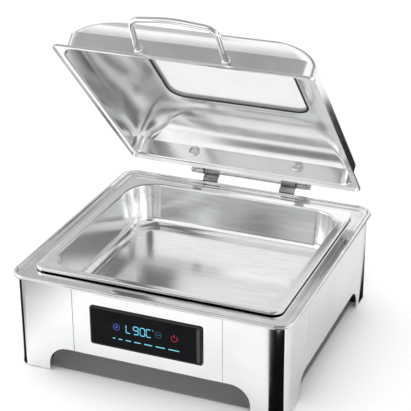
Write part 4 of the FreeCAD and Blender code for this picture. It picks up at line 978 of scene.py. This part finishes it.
def mouthCard():
    # A card in the open lid's mouth that glows on its lower face only, less towards both sides. It shows only in
    # reflections, as a painted bright reflection.
    wide = glow["halfX"]
    mouth = [(-wide, glow["farY"]), (wide, glow["farY"]), (wide, glow["nearY"]), (-wide, glow["nearY"])]
    corners = [lidPlace @ Vector((*corner, glow["drop"])) for corner in mouth]
    tree = hiddenCard("mouthCard", corners, glow["tone"]).data.materials[0].node_tree
    surface = tree.nodes["Principled BSDF"]
    surface.inputs["Emission Color"].default_value = (1, 1, 1, 1)
    where = tree.nodes.new("ShaderNodeTexCoord")
    split = tree.nodes.new("ShaderNodeSeparateXYZ")
    across = rangeNode(tree, (-wide, wide))
    shade = tree.nodes.new("ShaderNodeFloatCurve")
    curve = shade.mapping.curves[0]
    for number, strength in enumerate(glow["ends"]):
        curve.points[number].location = (float(number), strength)
    for place, strength in glow["between"]:
        curve.points.new(place, strength)
    shade.mapping.update()
    facing = tree.nodes.new("ShaderNodeNewGeometry")
    oneSide = tree.nodes.new("ShaderNodeMath")
    oneSide.operation = "SUBTRACT"
    oneSide.inputs[0].default_value = 1.0
    join = tree.links.new
    join(where.outputs["Object"], split.inputs["Vector"])
    join(split.outputs["X"], across.inputs["Value"])
    join(across.outputs["Result"], shade.inputs["Value"])
    join(shade.outputs["Value"], surface.inputs["Emission Strength"])
    join(facing.outputs["Backfacing"], oneSide.inputs[1])
    join(oneSide.outputs["Value"], surface.inputs["Alpha"])


def hiddenCards():
    # Cards that show only in the polished steel as painted dark reflections, a glowing card that paints a bright
    # reflection, and a black skirt, hidden from the camera, that casts painted shade on the floor under the casing
    for name, (tone, height, corners) in floorCards.items():
        hiddenCard(name, [(across, away, height) for across, away in corners], tone)
    fadeCard("apronCard", flatCorners(-0.50, 0.30, -0.15, 0.12, 0.56), 0.42, "Y", 0.12, -0.10)
    fadeCard("panCard", flatCorners(0.02, 0.60, -0.60, -0.16, 0.57), 0.12, "X", 0.03, 0.15)
    fadeCard("insideCard", uprightCorners(0.0, 0.90, -0.64, 0.07, 0.45), 0.16, "X", 0.02, 0.20)
    fadeCard("insideHighCard", uprightCorners(-0.36, 0.20, -0.65, 0.16, 0.45), 0.20, "Z", 0.165, 0.21)
    hiddenCard("rimCard", uprightCorners(-1.0, -0.28, 0.80, 0.30, 0.90), 0.45)
    mouthCard()
    fadeCard("leftFloorCard", flatCorners(-0.42, -0.14, -0.60, -0.186, 0.0006), 0.35, "X", -0.19, -0.33)
    # Black sheets round the underside, hidden from the camera and from reflections, casting painted shade on the
    # floor
    for number, first in enumerate(shadeSkirtCorners):
        second = shadeSkirtCorners[(number + 1) % len(shadeSkirtCorners)]
        corners = [(*first, 0.001), (*second, 0.001), (*second, 0.037), (*first, 0.037)]
        shadeSkirt = stagePlate(f"skirt{number}", corners, 0.0)
        shadeSkirt.visible_camera = shadeSkirt.visible_glossy = False
        shadeSkirt.data.materials[0].node_tree.nodes["Principled BSDF"].inputs["Alpha"].default_value = 0.86


floorReach = 12
stagePlate("floor", flatCorners(-floorReach, floorReach, -floorReach, floorReach, 0), 0.92, 0.7)
hiddenCards()

scene = bpy.context.scene
sky = bpy.data.worlds.new("studio")
scene.world = sky
sky.use_nodes = True
room = {"front": 1.15, "back": 0.14, "upper": 1.12, "top": 0.85}
air = sky.node_tree
toward = air.nodes.new("ShaderNodeTexCoord")
parts = air.nodes.new("ShaderNodeSeparateXYZ")
away = rangeNode(air, (0.1, 0.6), (room["front"], room["back"]), True)
climb = rangeNode(air, (0.06, 0.24), smooth=True)
upper = rangeNode(air, (0.6, 0.95), (room["upper"], room["top"]))
blend = air.nodes.new("ShaderNodeMix")
air.links.new(toward.outputs["Generated"], parts.inputs["Vector"])
air.links.new(parts.outputs["Y"], away.inputs["Value"])
for ramp in (climb, upper):
    air.links.new(parts.outputs["Z"], ramp.inputs["Value"])
for ramp, socket in ((climb, "Factor"), (away, "A"), (upper, "B")):
    air.links.new(ramp.outputs["Result"], blend.inputs[socket])
air.links.new(blend.outputs["Result"], air.nodes["Background"].inputs["Color"])


def softLight(name, place, target, wide, high, power, glossy=True):
    letGo()
    bpy.ops.object.light_add(type="AREA", location=place)
    lamp = bpy.context.object
    lamp.name = name
    lamp.data.shape = "RECTANGLE"
    lamp.data.size, lamp.data.size_y = wide, high
    lamp.data.energy = power
    lamp.visible_glossy = glossy
    lamp.rotation_euler = (Vector(target) - Vector(place)).to_track_quat("-Z", "Y").to_euler()


softLight("overhead", (-0.2, 0.2, 2.2), (0, 0.1, 0), 2.2, 2.0, 16, False)
softLight("leftBox", (-1.7, -0.9, 0.9), (0, 0, 0.2), 0.9, 1.2, 7)

eye = {"place": (0.6623, -1.5925, 1.0013), "turn": 22.29, "rise": 25.11, "roll": -0.38, "lens": 120.06,
       "sensor": 36}
turn, rise, roll = (math.radians(eye[key]) for key in ("turn", "rise", "roll"))
back = Vector((math.sin(turn) * math.cos(rise), -math.cos(turn) * math.cos(rise), math.sin(rise)))
right = Vector((math.cos(turn), math.sin(turn), 0))
up = back.cross(right)
rightRolled = right * math.cos(roll) + up * math.sin(roll)
upRolled = up * math.cos(roll) - right * math.sin(roll)
letGo()
bpy.ops.object.camera_add()
camera = bpy.context.object
facing = Matrix((rightRolled, upRolled, back)).transposed().to_4x4()
camera.matrix_world = Matrix.Translation(eye["place"]) @ facing
camera.data.lens = eye["lens"]
camera.data.sensor_width = eye["sensor"]
scene.camera = camera
scene.view_settings.view_transform = "Standard"
print("room ready")

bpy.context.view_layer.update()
letGo()
